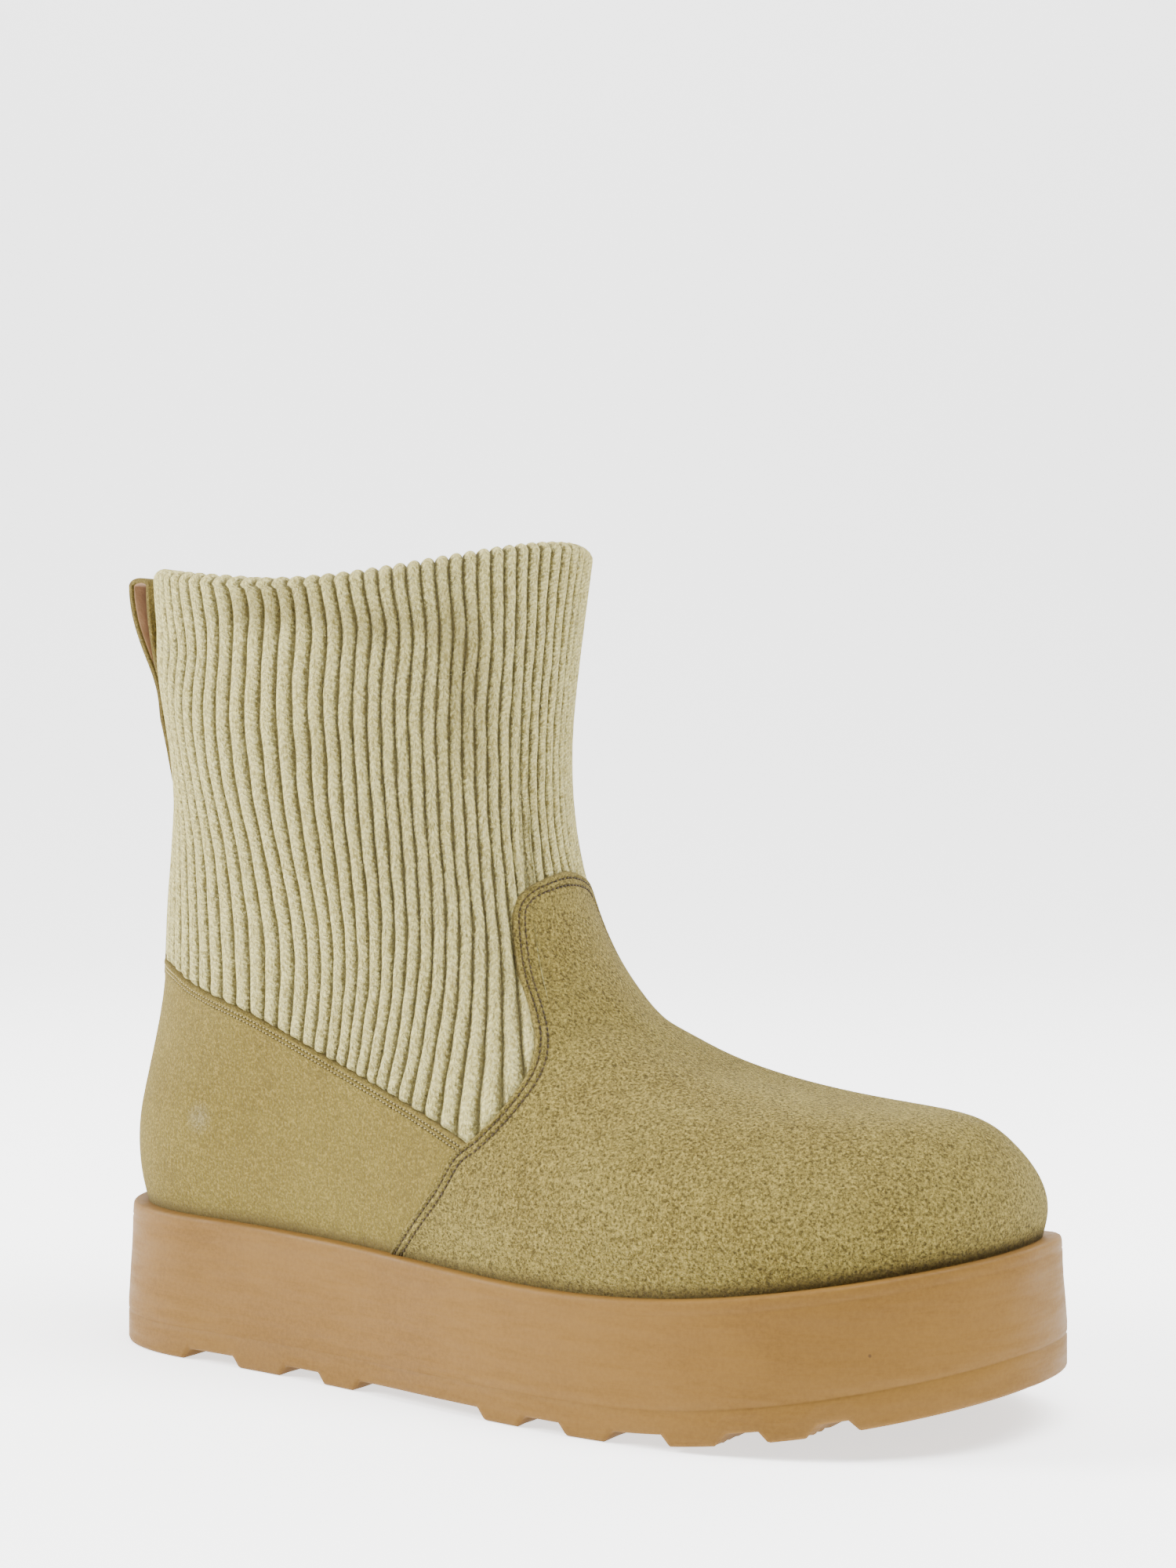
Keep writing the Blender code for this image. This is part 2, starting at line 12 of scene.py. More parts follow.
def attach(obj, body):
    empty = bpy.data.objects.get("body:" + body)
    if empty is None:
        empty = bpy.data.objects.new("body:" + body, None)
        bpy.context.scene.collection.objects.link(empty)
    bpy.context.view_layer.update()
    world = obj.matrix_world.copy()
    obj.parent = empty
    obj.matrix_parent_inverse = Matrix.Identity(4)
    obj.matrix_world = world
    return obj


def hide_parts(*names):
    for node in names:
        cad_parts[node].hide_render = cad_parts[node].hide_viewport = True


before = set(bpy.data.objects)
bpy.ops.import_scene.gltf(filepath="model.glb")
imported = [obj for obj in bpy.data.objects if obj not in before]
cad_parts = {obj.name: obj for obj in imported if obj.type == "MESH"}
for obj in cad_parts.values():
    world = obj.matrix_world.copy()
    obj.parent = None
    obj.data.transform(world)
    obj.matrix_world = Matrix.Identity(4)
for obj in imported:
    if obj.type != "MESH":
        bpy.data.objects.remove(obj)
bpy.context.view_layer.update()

# From the modelling frame, with the sole's middle at zero, to the boot's own frame
SHIFT = np.array([0.00239, -0.00525, 0.0])
DENSE_POINTS = 400
SEAM_POINTS = 160
SOLE_SIDE_POINTS = 620
SKIN_LEVELS = 300
SKIN_SIDE = 200
CUTTER_MARGIN = 0.02

# Sole
SOLE_LENGTH = 0.285
SOLE_HEEL_WIDTH = 0.078
SOLE_WAIST_WIDTH = 0.0885
SOLE_BALL_WIDTH = 0.1096
SOLE_HEEL_HEIGHT = 0.0419
SOLE_BALL_HEIGHT = 0.0370
SOLE_TOE_HEIGHT = 0.0494
SOLE_FLARE = 0.0015
SOLE_EDGE_RADIUS = 0.0012
TOE_SWING = 0.0165
TOE_SPRING = 0.0141
OUTSOLE_THICKNESS = 0.0092
TREAD_DEPTH = 0.0030
TREAD_SLANT = 0.0024
LEDGE_WIDTH = 0.0030

# Upper
COLLAR_BACK_HEIGHT = 0.231
COLLAR_FRONT_HEIGHT = 0.2345
COLLAR_DIP = 0.0085
SHAFT_DEPTH = 0.1405
SHAFT_WIDTH = 0.0965
KNIT_WALL = 0.003
SUEDE_THICKNESS = 0.0016
SURFACE_GAP = 0.0003

# Back strap and pull loop
STRAP_WIDTH = 0.025
STRAP_THICKNESS = 0.0018
STRAP_TOP_HEIGHT = 0.1990
LOOP_ROOT_HEIGHT = 0.1890
LOOP_TOP_HEIGHT = 0.2305
LOOP_REACH = 0.0098
LOOP_OPENING = 0.0052
LOOP_BAND = 0.0017

# Panels
VAMP_TOP_HEIGHT = 0.1445
VAMP_CROWN = 0.014
COUNTER_TOP_HEIGHT = 0.1150

# Shares of the sole's length from the heel, and how round its ends are. WAIST_FALL is how much of
# the fall from heel to ball the waist has, and TOE_WIDTH the share of the ball's width at the toe.
HEEL_STATION = 0.14
WAIST_STATION = 0.40
BALL_STATION = 0.66
LOW_STATION = 0.70
WAIST_FALL = 0.57
TOE_WIDTH = 0.93
SOLE_SHAPE = {"heel_cap": 0.15, "toe_cap": 0.27, "heel_round": 2.37, "toe_round": 2.43}
SWING_START = 0.45
SWING_POWER = 1.7
SPRING_START = 0.68
SPRING_POWER = 1.6

# How the collar dips at its sides, as a share of the way up and a power along the section
DIP_START = 0.8
DIP_POWER = 1.25
HEEL_ROUND = 2.0
HEEL_ROUND_LOW = 2.4

# The lower sections. back is a share of half the last's length and reach runs from the shaft's
# front, 0, to the toe, 1. The _up columns are shares of the way up to the collar, and the widths
# are shares of the last's widths. follow is how far the section follows the sole's hollow,
# and dome how far its sides fall away from the crest.
FOOT_COLUMNS = (
    "back", "back_up", "reach", "front_up", "heel", "waist", "ball",
    "heel_cap", "toe_cap", "toe_round", "swing", "follow", "dome",
)
FOOT_SECTIONS = (
    (0.992, 0.000, 0.985, 0.000, 1.000, 1.000, 1.000, 0.15, 0.27, 2.40, 1.00, 1.00, 0.00),
    (1.012, 0.053, 0.999, 0.042, 1.030, 1.005, 1.015, 0.15, 0.28, 2.35, 1.00, 0.90, 0.00),
    (1.026, 0.118, 0.986, 0.087, 1.030, 0.980, 0.995, 0.16, 0.31, 2.22, 0.98, 0.60, 0.15),
    (1.020, 0.182, 0.943, 0.130, 1.010, 0.950, 0.930, 0.17, 0.35, 2.08, 0.94, 0.30, 0.45),
    (1.002, 0.257, 0.868, 0.160, 0.995, 0.925, 0.840, 0.19, 0.40, 1.95, 0.88, 0.10, 0.80),
    (0.980, 0.353, 0.722, 0.168, 0.995, 0.915, 0.770, 0.22, 0.45, 1.85, 0.75, 0.00, 1.00),
    (0.970, 0.460, 0.547, 0.181, 1.030, 0.930, 0.745, 0.26, 0.50, 1.78, 0.58, 0.00, 1.00),
)

# The upper sections. width is a share of the shaft's width.
SHAFT_COLUMNS = (
    "back", "back_up", "reach", "front_up", "width",
    "heel_cap", "toe_cap", "toe_round", "swing", "dome",
)
SHAFT_SECTIONS = (
    (0.953, 0.567, 0.376, 0.205, 0.785, 0.32, 0.53, 1.80, 0.40, 0.60),
    (0.937, 0.663, 0.196, 0.262, 0.840, 0.38, 0.54, 1.90, 0.25, 0.20),
    (0.943, 0.749, 0.062, 0.356, 0.890, 0.43, 0.52, 2.00, 0.12, 0.00),
    (0.960, 0.824, -0.007, 0.462, 0.925, 0.46, 0.51, 2.00, 0.05, 0.00),
    (0.972, 0.888, -0.041, 0.570, 0.940, 0.48, 0.50, 2.00, 0.00, 0.00),
    (0.974, 0.931, -0.051, 0.682, 0.948, 0.50, 0.50, 2.00, 0.00, 0.00),
    (0.978, 0.968, -0.037, 0.811, 0.965, 0.50, 0.50, 2.00, 0.00, 0.00),
    (0.978, 1.000, 0.000, 1.000, 1.000, 0.50, 0.50, 2.00, 0.00, 0.00),
)

# Grooves across the tread: where each opens and ends, as shares of the sole's length
TREAD_GROOVES = (
    (0.140, 0.217), (0.271, 0.333), (0.371, 0.544), (0.583, 0.639),
    (0.679, 0.745), (0.787, 0.833), (0.863, 0.904),
)

# The vamp's rear edge in side view, from the shaft's front down to the sole. behind is a share of
# the shaft's depth, and up is a share of the way from the sole to the vamp's top.
VAMP_SEAM = (
    (-0.100, 1.000), (0.000, 1.000), (0.012, 0.988), (0.028, 0.958), (0.040, 0.925),
    (0.041, 0.879), (0.027, 0.800), (0.004, 0.715), (-0.030, 0.633), (-0.050, 0.580),
    (-0.058, 0.535), (-0.058, 0.488), (-0.046, 0.441), (-0.026, 0.399), (0.001, 0.359),
    (0.030, 0.325), (0.068, 0.286), (0.104, 0.211), (0.152, 0.134), (0.196, 0.066),
    (0.240, -0.010), (0.280, -0.090),
)

# The counter's top edge in side view, from the back forwards, in the same way
COUNTER_SEAM = (
    (1.100, 1.000), (1.010, 1.000), (0.885, 0.968), (0.807, 0.922), (0.669, 0.856),
    (0.555, 0.788), (0.459, 0.722), (0.356, 0.652), (0.253, 0.583), (0.148, 0.514),
    (0.058, 0.451), (-0.050, 0.375),
)

# The pull loop from its root up: how far it leans out, and how far its two bands stand apart
LOOP_SECTIONS = (
    (0.00, 0.00, 0.00), (0.15, 0.10, 0.00), (0.30, 0.33, 0.02), (0.42, 0.53, 0.24),
    (0.56, 0.73, 0.55), (0.70, 0.89, 0.80), (0.84, 0.98, 0.96), (0.94, 1.00, 1.00),
)


def smooth(at, known, values):
    """A natural cubic spline through the rows of a table, read at the given places."""
    at, known, values = (np.asarray(given, float) for given in (at, known, values))
    count, step = len(known), np.diff(known)
    system, right = np.eye(count), np.zeros_like(values)
    for i in range(1, count - 1):
        system[i, i - 1 : i + 2] = step[i - 1], 2 * (step[i - 1] + step[i]), step[i]
        slopes = (values[i + 1] - values[i]) / step[i], (values[i] - values[i - 1]) / step[i - 1]
        right[i] = 6 * (slopes[0] - slopes[1])
    bend = np.linalg.solve(system, right)
    i = np.clip(np.searchsorted(known, at, side="right") - 1, 0, count - 2)
    extra = (...,) + (None,) * (values.ndim - 1)
    width = np.asarray(step[i])[extra]
    low = np.asarray(known[i + 1] - at)[extra] / width
    high = 1 - low
    line = low * values[i] + high * values[i + 1]
    curved = (low**3 - low) * bend[i] + (high**3 - high) * bend[i + 1]
    return line + curved * width**2 / 6


def end_caps(share, heel_cap, toe_cap, heel_round, toe_round):
    """The share of its width that an outline has near its two rounded ends."""
    heel = 1 - np.clip(share / heel_cap, 0, 1)
    toe = np.clip((share - (1 - toe_cap)) / toe_cap, 0, 1)
    return (1 - heel**heel_round) ** (1 / heel_round) * (1 - toe**toe_round) ** (1 / toe_round)


def swing_share(station):
    """The toe's turn towards the inner side, 0 at the waist and 1 at the tip."""
    return np.clip((station - SWING_START) / (1 - SWING_START), 0, 1) ** SWING_POWER


def sole_top(x):
    """The height of the sole's top face at a place along the boot."""
    waist = SOLE_HEEL_HEIGHT + WAIST_FALL * (SOLE_BALL_HEIGHT - SOLE_HEEL_HEIGHT)
    known = (0, WAIST_STATION, LOW_STATION, 1)
    heights = (SOLE_HEEL_HEIGHT, waist, SOLE_BALL_HEIGHT, SOLE_TOE_HEIGHT)
    return smooth(np.clip(x / SOLE_LENGTH + 0.5, 0, 1), known, heights)


def sole_bottom(x):
    """The height of the tread's lowest face, which rises at the toe."""
    station = np.clip(x / SOLE_LENGTH + 0.5, 0, 1)
    return TOE_SPRING * np.clip((station - SPRING_START) / (1 - SPRING_START), 0, 1) ** SPRING_POWER


def end_spaced(count):
    """Places from 0 to 1, closer together at both ends."""
    return (1 - np.cos(np.linspace(0, math.pi, count + 1))) / 2


def width_curve(station, heel, waist, ball):
    """The full width along an outline before its ends are rounded."""
    known = (0, HEEL_STATION, WAIST_STATION, BALL_STATION, 1)
    return smooth(station, known, (heel, heel, waist, ball, TOE_WIDTH * ball))


def closed_loop(x, middle, half, z):
    """A loop from the heel's tip along the outer side to the toe's, and back along the inner."""
    outer = np.stack([x, middle - half, z], 1)
    inner = np.stack([x, middle + half, z], 1)
    return np.concatenate([outer, inner[-2:0:-1]])


def sole_outline(inset):
    """The sole's outline in plan, moved inwards by a distance."""
    station = end_spaced(SOLE_SIDE_POINTS)
    half = width_curve(station, SOLE_HEEL_WIDTH, SOLE_WAIST_WIDTH, SOLE_BALL_WIDTH) / 2
    half = half * end_caps(station, **SOLE_SHAPE)
    x = (station - 0.5) * SOLE_LENGTH
    return inward(closed_loop(x, TOE_SWING * swing_share(station), half, 0 * x), inset)


def inward(loop, distance):
    """The loop moved inwards in plan by a distance."""
    along = np.roll(loop, -1, 0) - np.roll(loop, 1, 0)
    across = np.stack([-along[:, 1], along[:, 0], 0 * along[:, 0]], 1)
    return loop + distance * across / np.linalg.norm(across, axis=1)[:, None]


def section_rows():
    """Every section of the upper in metres, one row each, from the sole to the collar."""
    margin = LEDGE_WIDTH + SUEDE_THICKNESS + SURFACE_GAP
    half_length = SOLE_LENGTH / 2 - margin
    toe_x, collar_back = half_length, -half_length * SHAFT_SECTIONS[-1][0]
    shaft_front = collar_back + SHAFT_DEPTH
    base_back = SOLE_HEEL_HEIGHT + SURFACE_GAP
    base_front = SOLE_TOE_HEIGHT + SURFACE_GAP
    widths = [w - 2 * margin for w in (SOLE_HEEL_WIDTH, SOLE_WAIST_WIDTH, SOLE_BALL_WIDTH)]
    rows = []
    for values in FOOT_SECTIONS + SHAFT_SECTIONS:
        on_foot = len(values) == len(FOOT_COLUMNS)
        row = dict(zip(FOOT_COLUMNS if on_foot else SHAFT_COLUMNS, values))
        if on_foot:
            wide = [width * row[key] for width, key in zip(widths, ("heel", "waist", "ball"))]
        else:
            wide = [SHAFT_WIDTH * row["width"]] * 3
        rows.append([
            -half_length * row["back"],
            base_back + (COLLAR_BACK_HEIGHT - base_back) * row["back_up"],
            shaft_front + (toe_x - shaft_front) * row["reach"],
            base_front + (COLLAR_FRONT_HEIGHT - base_front) * row["front_up"],
            *wide,
            row["heel_cap"],
            row["toe_cap"],
            row["toe_round"],
            TOE_SWING * row["swing"],
            row.get("follow", 0.0),
            COLLAR_DIP * max(0.0, (row["back_up"] - DIP_START) / (1 - DIP_START)),
            VAMP_CROWN * row["dome"],
        ])
    return np.array(rows)


def section_loop(row, side_points):
    """One closed section of the upper, spaced evenly along each side."""
    (back_x, back_z, front_x, front_z, heel, waist, ball,
     heel_cap, toe_cap, toe_round, swing, follow, dip, dome) = row
    share = end_spaced(DENSE_POINTS)
    half = width_curve(share, heel, waist, ball) / 2
    heel_round = HEEL_ROUND + (HEEL_ROUND_LOW - HEEL_ROUND) * follow
    half = half * end_caps(share, heel_cap, toe_cap, heel_round, toe_round)
    x = back_x + (front_x - back_x) * share
    z = back_z + (front_z - back_z) * share
    straight = SOLE_HEEL_HEIGHT + (SOLE_TOE_HEIGHT - SOLE_HEEL_HEIGHT) * (x / SOLE_LENGTH + 0.5)
    z = z + follow * (sole_top(x) - straight) - dip * np.sin(math.pi * share**DIP_POWER)
    z = z - dome * (2 * half / SOLE_BALL_WIDTH) ** 2
    middle = swing * swing_share(share)
    sides = []
    for sign in (-1, 1):
        side = np.stack([x, middle + sign * half, z], 1)
        length = np.concatenate([[0], np.cumsum(np.linalg.norm(np.diff(side, axis=0), axis=1))])
        places = np.linspace(0, length[-1], side_points + 1)
        sides.append(np.stack([np.interp(places, length, side[:, k]) for k in range(3)], 1))
    return np.concatenate([sides[0], sides[1][-2:0:-1]])


def upper_grid(levels, side_points):
    """Rings of points on the knit's outer face, and the direction out of it at each."""
    table = section_rows()
    rows = smooth(levels * (len(table) - 1), np.arange(len(table)), table)
    grid = np.array([section_loop(row, side_points) for row in rows])
    around = np.roll(grid, -1, 1) - np.roll(grid, 1, 1)
    upward = np.gradient(grid, axis=0)
    out = np.cross(around, upward)
    for end in (0, -1):
        if levels[end] in (0.0, 1.0):
            out[end, :, 2] = 0
    return grid, out / np.linalg.norm(out, axis=2, keepdims=True)


def shaft_front():
    """Where the front of the collar is along the boot."""
    return section_rows()[-1][2]


def seam(table, top_height):
    """A seam in side view, as a smooth line of places along the boot and heights."""
    base = sole_top(0.0)
    rows = np.array(table)
    known = np.arange(len(rows))
    fine = smooth(np.linspace(0, known[-1], SEAM_POINTS), known, rows)
    return np.stack([shaft_front() - fine[:, 0] * SHAFT_DEPTH, base + fine[:, 1] * (top_height - base)], 1)


def vamp_outline():
    """The side view of everything ahead of the vamp's rear edge."""
    line = seam(VAMP_SEAM, VAMP_TOP_HEIGHT)
    ahead = SOLE_LENGTH / 2 + CUTTER_MARGIN
    corners = [(line[-1][0], -CUTTER_MARGIN), (ahead, -CUTTER_MARGIN), (ahead, line[0][1])]
    return np.concatenate([line, corners])


def counter_outline():
    """The side view of everything under the counter's top edge."""
    line = seam(COUNTER_SEAM, COUNTER_TOP_HEIGHT)
    behind = -SOLE_LENGTH / 2 - CUTTER_MARGIN
    corners = [(line[-1][0], -CUTTER_MARGIN), (behind, -CUTTER_MARGIN), (behind, line[0][1])]
    return np.concatenate([line, corners])


# Shared helpers

RNG = np.random.default_rng(11)

# How far the rows of stitches run from each panel's edge, in millimetres
VAMP_ROWS = (1.85, 3.80)
COUNTER_ROWS = (1.65, 2.95)
STRAP_ROWS = (1.80,)
# The pale scuff on the counter's outer side
SCUFF_SPOT = (-0.0975, -0.0455, 0.0705)


def mesh_object(name, points, faces, material, uv=None, extra=None):
    """A shaded object in the boot's frame. uv is one pair per point, extra one number per point."""
    mesh = bpy.data.meshes.new(name)
    mesh.from_pydata((np.asarray(points, float) + SHIFT).tolist(), [], [tuple(f) for f in faces])
    mesh.materials.append(material)
    mesh.shade_smooth()
    if uv is not None:
        layer = mesh.uv_layers.new(name="Pattern")
        corner = np.zeros(len(mesh.loops), dtype=np.int32)
        mesh.loops.foreach_get("vertex_index", corner)
        layer.data.foreach_set("uv", np.asarray(uv, np.float32)[corner].ravel())
    for key, values in (extra or {}).items():
        data = mesh.attributes.new(key, "FLOAT", "POINT")
        data.data.foreach_set("value", np.asarray(values, np.float32))
    mesh.update()
    thing = bpy.data.objects.new(name, mesh)
    bpy.context.scene.collection.objects.link(thing)
    return thing


def finish_piece(thing, slot, *nodes):
    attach(thing, "root")
    if nodes:
        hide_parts(*nodes)
    return thing


def turn_outward(thing):
    """Faces of a closed mesh turned outward, with its sharp edges kept."""
    bm = bmesh.new()
    bm.from_mesh(thing.data)
    bmesh.ops.recalc_face_normals(bm, faces=bm.faces)
    bm.to_mesh(thing.data)
    bm.free()
    thing.data.set_sharp_from_angle(angle=math.radians(50))


def ripple(*coords, seed=0, octaves=3, base=1.0):
    """Smooth made-up variation between about -1 and 1 from a few crossing waves."""
    rng = np.random.default_rng(seed)
    total, weight = 0.0, 0.0
    for octave in range(octaves):
        size = base * 1.9**octave
        amount = 0.6**octave
        for _ in range(3):
            directions = rng.normal(size=len(coords))
            directions /= np.linalg.norm(directions) + 1e-9
            wave = sum(d * c for d, c in zip(directions, coords)) * size + rng.uniform(0, 6.3)
            total = total + amount * np.sin(wave)
            weight += amount * 0.7
    return total / weight


def ease(value, low, high):
    """0 below low, 1 above high and smooth between."""
    share = np.clip((value - low) / (high - low), 0, 1)
    return share * share * (3 - 2 * share)


def quads(rows, columns, cyclic=False, flip=False):
    """Faces of a grid stored row after row."""
    faces = []
    last = columns if cyclic else columns - 1
    for r in range(rows - 1):
        for c in range(last):
            d = (c + 1) % columns
            face = (r * columns + c, r * columns + d, (r + 1) * columns + d, (r + 1) * columns + c)
            faces.append(face[::-1] if flip else face)
    return faces


# Materials


class Paint:
    """A material's node tree, with short ways to add nodes."""

    def __init__(self, name):
        self.material = bpy.data.materials.new(name)
        self.material.use_nodes = True
        self.tree = self.material.node_tree
        self.shader = self.tree.nodes["Principled BSDF"]
        self.place = self.add("ShaderNodeTexCoord").outputs["Object"]

    def add(self, kind, **settings):
        node = self.tree.nodes.new(kind)
        for key, value in settings.items():
            setattr(node, key, value)
        return node

    def link(self, source, socket):
        if isinstance(source, (int, float)):
            socket.default_value = source
        elif isinstance(source, tuple):
            socket.default_value = source
        else:
            self.tree.links.new(source, socket)

    def math(self, operation, first, second=0.0, third=None):
        node = self.add("ShaderNodeMath", operation=operation)
        self.link(first, node.inputs[0])
        self.link(second, node.inputs[1])
        if third is not None:
            self.link(third, node.inputs[2])
        return node.outputs[0]

    def span(self, value, low, high, to_low=0.0, to_high=1.0):
        node = self.add("ShaderNodeMapRange", interpolation_type="SMOOTHSTEP")
        for socket, given in zip(node.inputs, (value, low, high, to_low, to_high)):
            self.link(given, socket)
        return node.outputs[0]

    def noise(self, scale, detail=3.0, rough=0.55, stretch=None, vector=None):
        node = self.add("ShaderNodeTexNoise")
        vector = vector or self.place
        if stretch:
            mapping = self.add("ShaderNodeMapping")
            mapping.inputs["Scale"].default_value = stretch
            self.link(vector, mapping.inputs["Vector"])
            vector = mapping.outputs[0]
        self.link(vector, node.inputs["Vector"])
        node.inputs["Scale"].default_value = scale
        node.inputs["Detail"].default_value = detail
        node.inputs["Roughness"].default_value = rough
        return node.outputs["Fac"]

    def cells(self, scale):
        node = self.add("ShaderNodeTexVoronoi")
        self.link(self.place, node.inputs["Vector"])
        node.inputs["Scale"].default_value = scale
        return node

    def blend(self, share, first, second):
        node = self.add("ShaderNodeMix", data_type="RGBA")
        self.link(share, node.inputs[0])
        for given, socket in ((first, node.inputs[6]), (second, node.inputs[7])):
            self.link(given, socket)
        return node.outputs[2]

    def bump(self, height, distance, strength=1.0, below=None):
        node = self.add("ShaderNodeBump")
        node.inputs["Strength"].default_value = strength
        node.inputs["Distance"].default_value = distance
        self.link(height, node.inputs["Height"])
        if below is not None:
            self.link(below, node.inputs["Normal"])
        return node.outputs[0]

    def attribute(self, name):
        return self.add("ShaderNodeAttribute", attribute_name=name).outputs["Fac"]

    def done(self, color, roughness, normal=None, sheen=0.0, specular=0.5, coat=0.0):
        self.link(color, self.shader.inputs["Base Color"])
        self.link(roughness, self.shader.inputs["Roughness"])
        if normal is not None:
            self.link(normal, self.shader.inputs["Normal"])
        self.shader.inputs["Sheen Weight"].default_value = sheen
        self.shader.inputs["Sheen Roughness"].default_value = 0.5
        self.shader.inputs["Specular IOR Level"].default_value = specular
        self.shader.inputs["Coat Weight"].default_value = coat
        return self.material


def tint(red, green, blue):
    """A colour as it looks on screen, 0 to 255, as the shader's linear one."""
    return tuple((v / 255 / 12.92 if v < 10.3 else ((v / 255 + 0.055) / 1.055) ** 2.4)
                 for v in (red, green, blue)) + (1.0,)


def knit_paint():
    """Wool in ribs of V stitches, with painted shade between its stitches, in the grooves and in the shaft's
    hollows.
    """
    p = Paint("knit_wool")
    uv = p.add("ShaderNodeUVMap", uv_map="Pattern").outputs[0]
    split = p.add("ShaderNodeSeparateXYZ")
    p.link(uv, split.inputs[0])
    across, along = split.outputs[0], split.outputs[1]
    # off is 0 on a rib's middle and 0.5 in the groove beside it
    off = p.math("ABSOLUTE", p.math("SUBTRACT", p.math("FRACT", across), 0.5))
    wander = p.math("MULTIPLY", p.math("SUBTRACT", p.noise(420, 3), 0.5), 2.4)
    phase = p.math("SUBTRACT", p.math("ADD", along, wander), p.math("MULTIPLY", off, 2.1))
    leg = p.math("MULTIPLY_ADD", p.math("SINE", p.math("MULTIPLY", phase, 2 * math.pi)), 0.5, 0.5)
    crease = p.span(off, 0.0, 0.09)
    fuzz = p.noise(2000, 4, 0.75)
    ragged = p.math("MULTIPLY_ADD", p.math("SUBTRACT", p.noise(1100, 3, 0.7), 0.5), 0.55, off)
    groove = p.span(ragged, 0.25, 0.46)
    hair = p.noise(900, 3, 0.7, stretch=(1.6, 1.6, 0.55))
    weave = p.math("MULTIPLY", leg, p.math("MULTIPLY_ADD", crease, 0.5, 0.5))
    raised = p.bump(weave, 0.0012, 0.85)
    raised = p.bump(hair, 0.0026, 0.9, raised)
    raised = p.bump(fuzz, 0.0014, 0.9, raised)
    light = p.blend(p.noise(38, 3), tint(254, 244, 158), tint(248, 232, 140))
    light = p.blend(p.span(fuzz, 0.40, 0.75), light, tint(252, 246, 200))
    # Painted shade between the legs of the V stitches and along their middle crease
    shade = p.math("MULTIPLY", p.math("SUBTRACT", 1.0, weave), 0.50)
    light = p.blend(shade, light, tint(176, 158, 88))
    light = p.blend(p.span(hair, 0.52, 0.36, 0.0, 0.65), light, tint(150, 130, 56))
    # Painted shade in the grooves between the ribs
    color = p.blend(p.math("MULTIPLY", groove, 0.80), light, tint(96, 82, 32))
    # Painted shade in the shaft's hollows, darker where the dent attribute says they are deeper
    color = p.blend(p.span(p.attribute("dent"), 0.2, 2.6, 0.0, 0.42), color, tint(120, 104, 50))
    return p.done(color, 0.95, raised, sheen=0.12, specular=0.12)


def suede_paint(name, light, dark, grain, rows, row_dark, pale=0.0):
    """Suede with painted shade along its edge and in the grooves along its rows of stitches, and darker just
    above the sole.
    """
    p = Paint(name)
    broad = p.noise(34, 4, 0.6)
    patch = p.noise(120, 3, 0.6)
    nap = p.noise(1250, 4, 0.78)
    fine = p.noise(2600, 2, 0.6)
    pebble = p.cells(1350).outputs["Distance"]
    color = p.blend(p.span(broad, 0.3, 0.7), dark, light)
    color = p.blend(p.span(patch, 0.42, 0.62, 0.0, 0.25), color, light)
    color = p.blend(p.span(nap, 0.50, 0.62, 0.0, 0.55 * grain), color, tint(206, 184, 98))
    color = p.blend(p.span(nap, 0.50, 0.39, 0.0, 0.70 * grain), color, tint(66, 52, 10))
    if pale:
        distance = p.add("ShaderNodeVectorMath", operation="DISTANCE")
        p.link(p.place, distance.inputs[0])
        distance.inputs[1].default_value = SCUFF_SPOT
        mark = p.span(distance.outputs["Value"], 0.0010, 0.0075, pale, 0.0)
        mark = p.math("MULTIPLY", mark, p.span(nap, 0.3, 0.6))
        color = p.blend(mark, color, tint(228, 224, 200))
    low = p.span(p.attribute("above"), 0.2, 4.5, 0.72, 0.0)
    color = p.blend(low, color, tint(104, 88, 48))
    inset = p.attribute("inset")
    # Painted shade along the panel's edge, where it turns down to the knit
    edge = p.span(inset, 0.15, 0.8, 0.45, 0.0)
    color = p.blend(edge, color, tint(112, 96, 54))
    # Painted shade in the grooves along the rows of stitches; row_dark sets how dark it is
    for row in rows:
        beside = p.math("ABSOLUTE", p.math("SUBTRACT", inset, row))
        color = p.blend(p.span(beside, 0.16, 0.50, row_dark, 0.0), color, tint(62, 50, 18))
    raised = p.bump(nap, 0.0030 * grain, 1.0)
    raised = p.bump(pebble, 0.0010 * grain, 0.5, raised)
    raised = p.bump(fine, 0.0006 * grain, 0.6, raised)
    return p.done(color, 0.93, raised, sheen=0.08, specular=0.10)


def rubber_paint():
    """Moulded tan rubber with faint streaks and a few dark and pale specks."""
    p = Paint("sole_rubber")
    broad = p.noise(22, 3)
    streak = p.noise(150, 4, 0.7, stretch=(0.25, 0.25, 2.2))
    mottle = p.noise(900, 3, 0.65)
    color = p.blend(p.span(broad, 0.3, 0.7), tint(98, 69, 23), tint(107, 77, 27))
    color = p.blend(p.span(streak, 0.45, 0.75, 0.0, 0.30), color, tint(84, 58, 18))
    color = p.blend(p.span(mottle, 0.3, 0.7, 0.0, 0.45), color, tint(118, 86, 33))
    dots = p.cells(75)
    pick = p.add("ShaderNodeSeparateColor")
    p.link(dots.outputs["Color"], pick.inputs[0])
    near = p.span(dots.outputs["Distance"], 0.018, 0.045, 1.0, 0.0)
    dark_dot = p.math("MULTIPLY", near, p.math("GREATER_THAN", pick.outputs[0], 0.86))
    pale_dot = p.math("MULTIPLY", near, p.math("LESS_THAN", pick.outputs[0], 0.10))
    color = p.blend(p.math("MULTIPLY", dark_dot, 0.75), color, tint(60, 42, 22))
    color = p.blend(p.math("MULTIPLY", pale_dot, 0.8), color, tint(232, 208, 170))
    raised = p.bump(mottle, 0.00025, 0.25)
    raised = p.bump(streak, 0.0006, 0.12, raised)
    rough = p.span(streak, 0.3, 0.7, 0.56, 0.72)
    return p.done(color, rough, raised, specular=0.22)


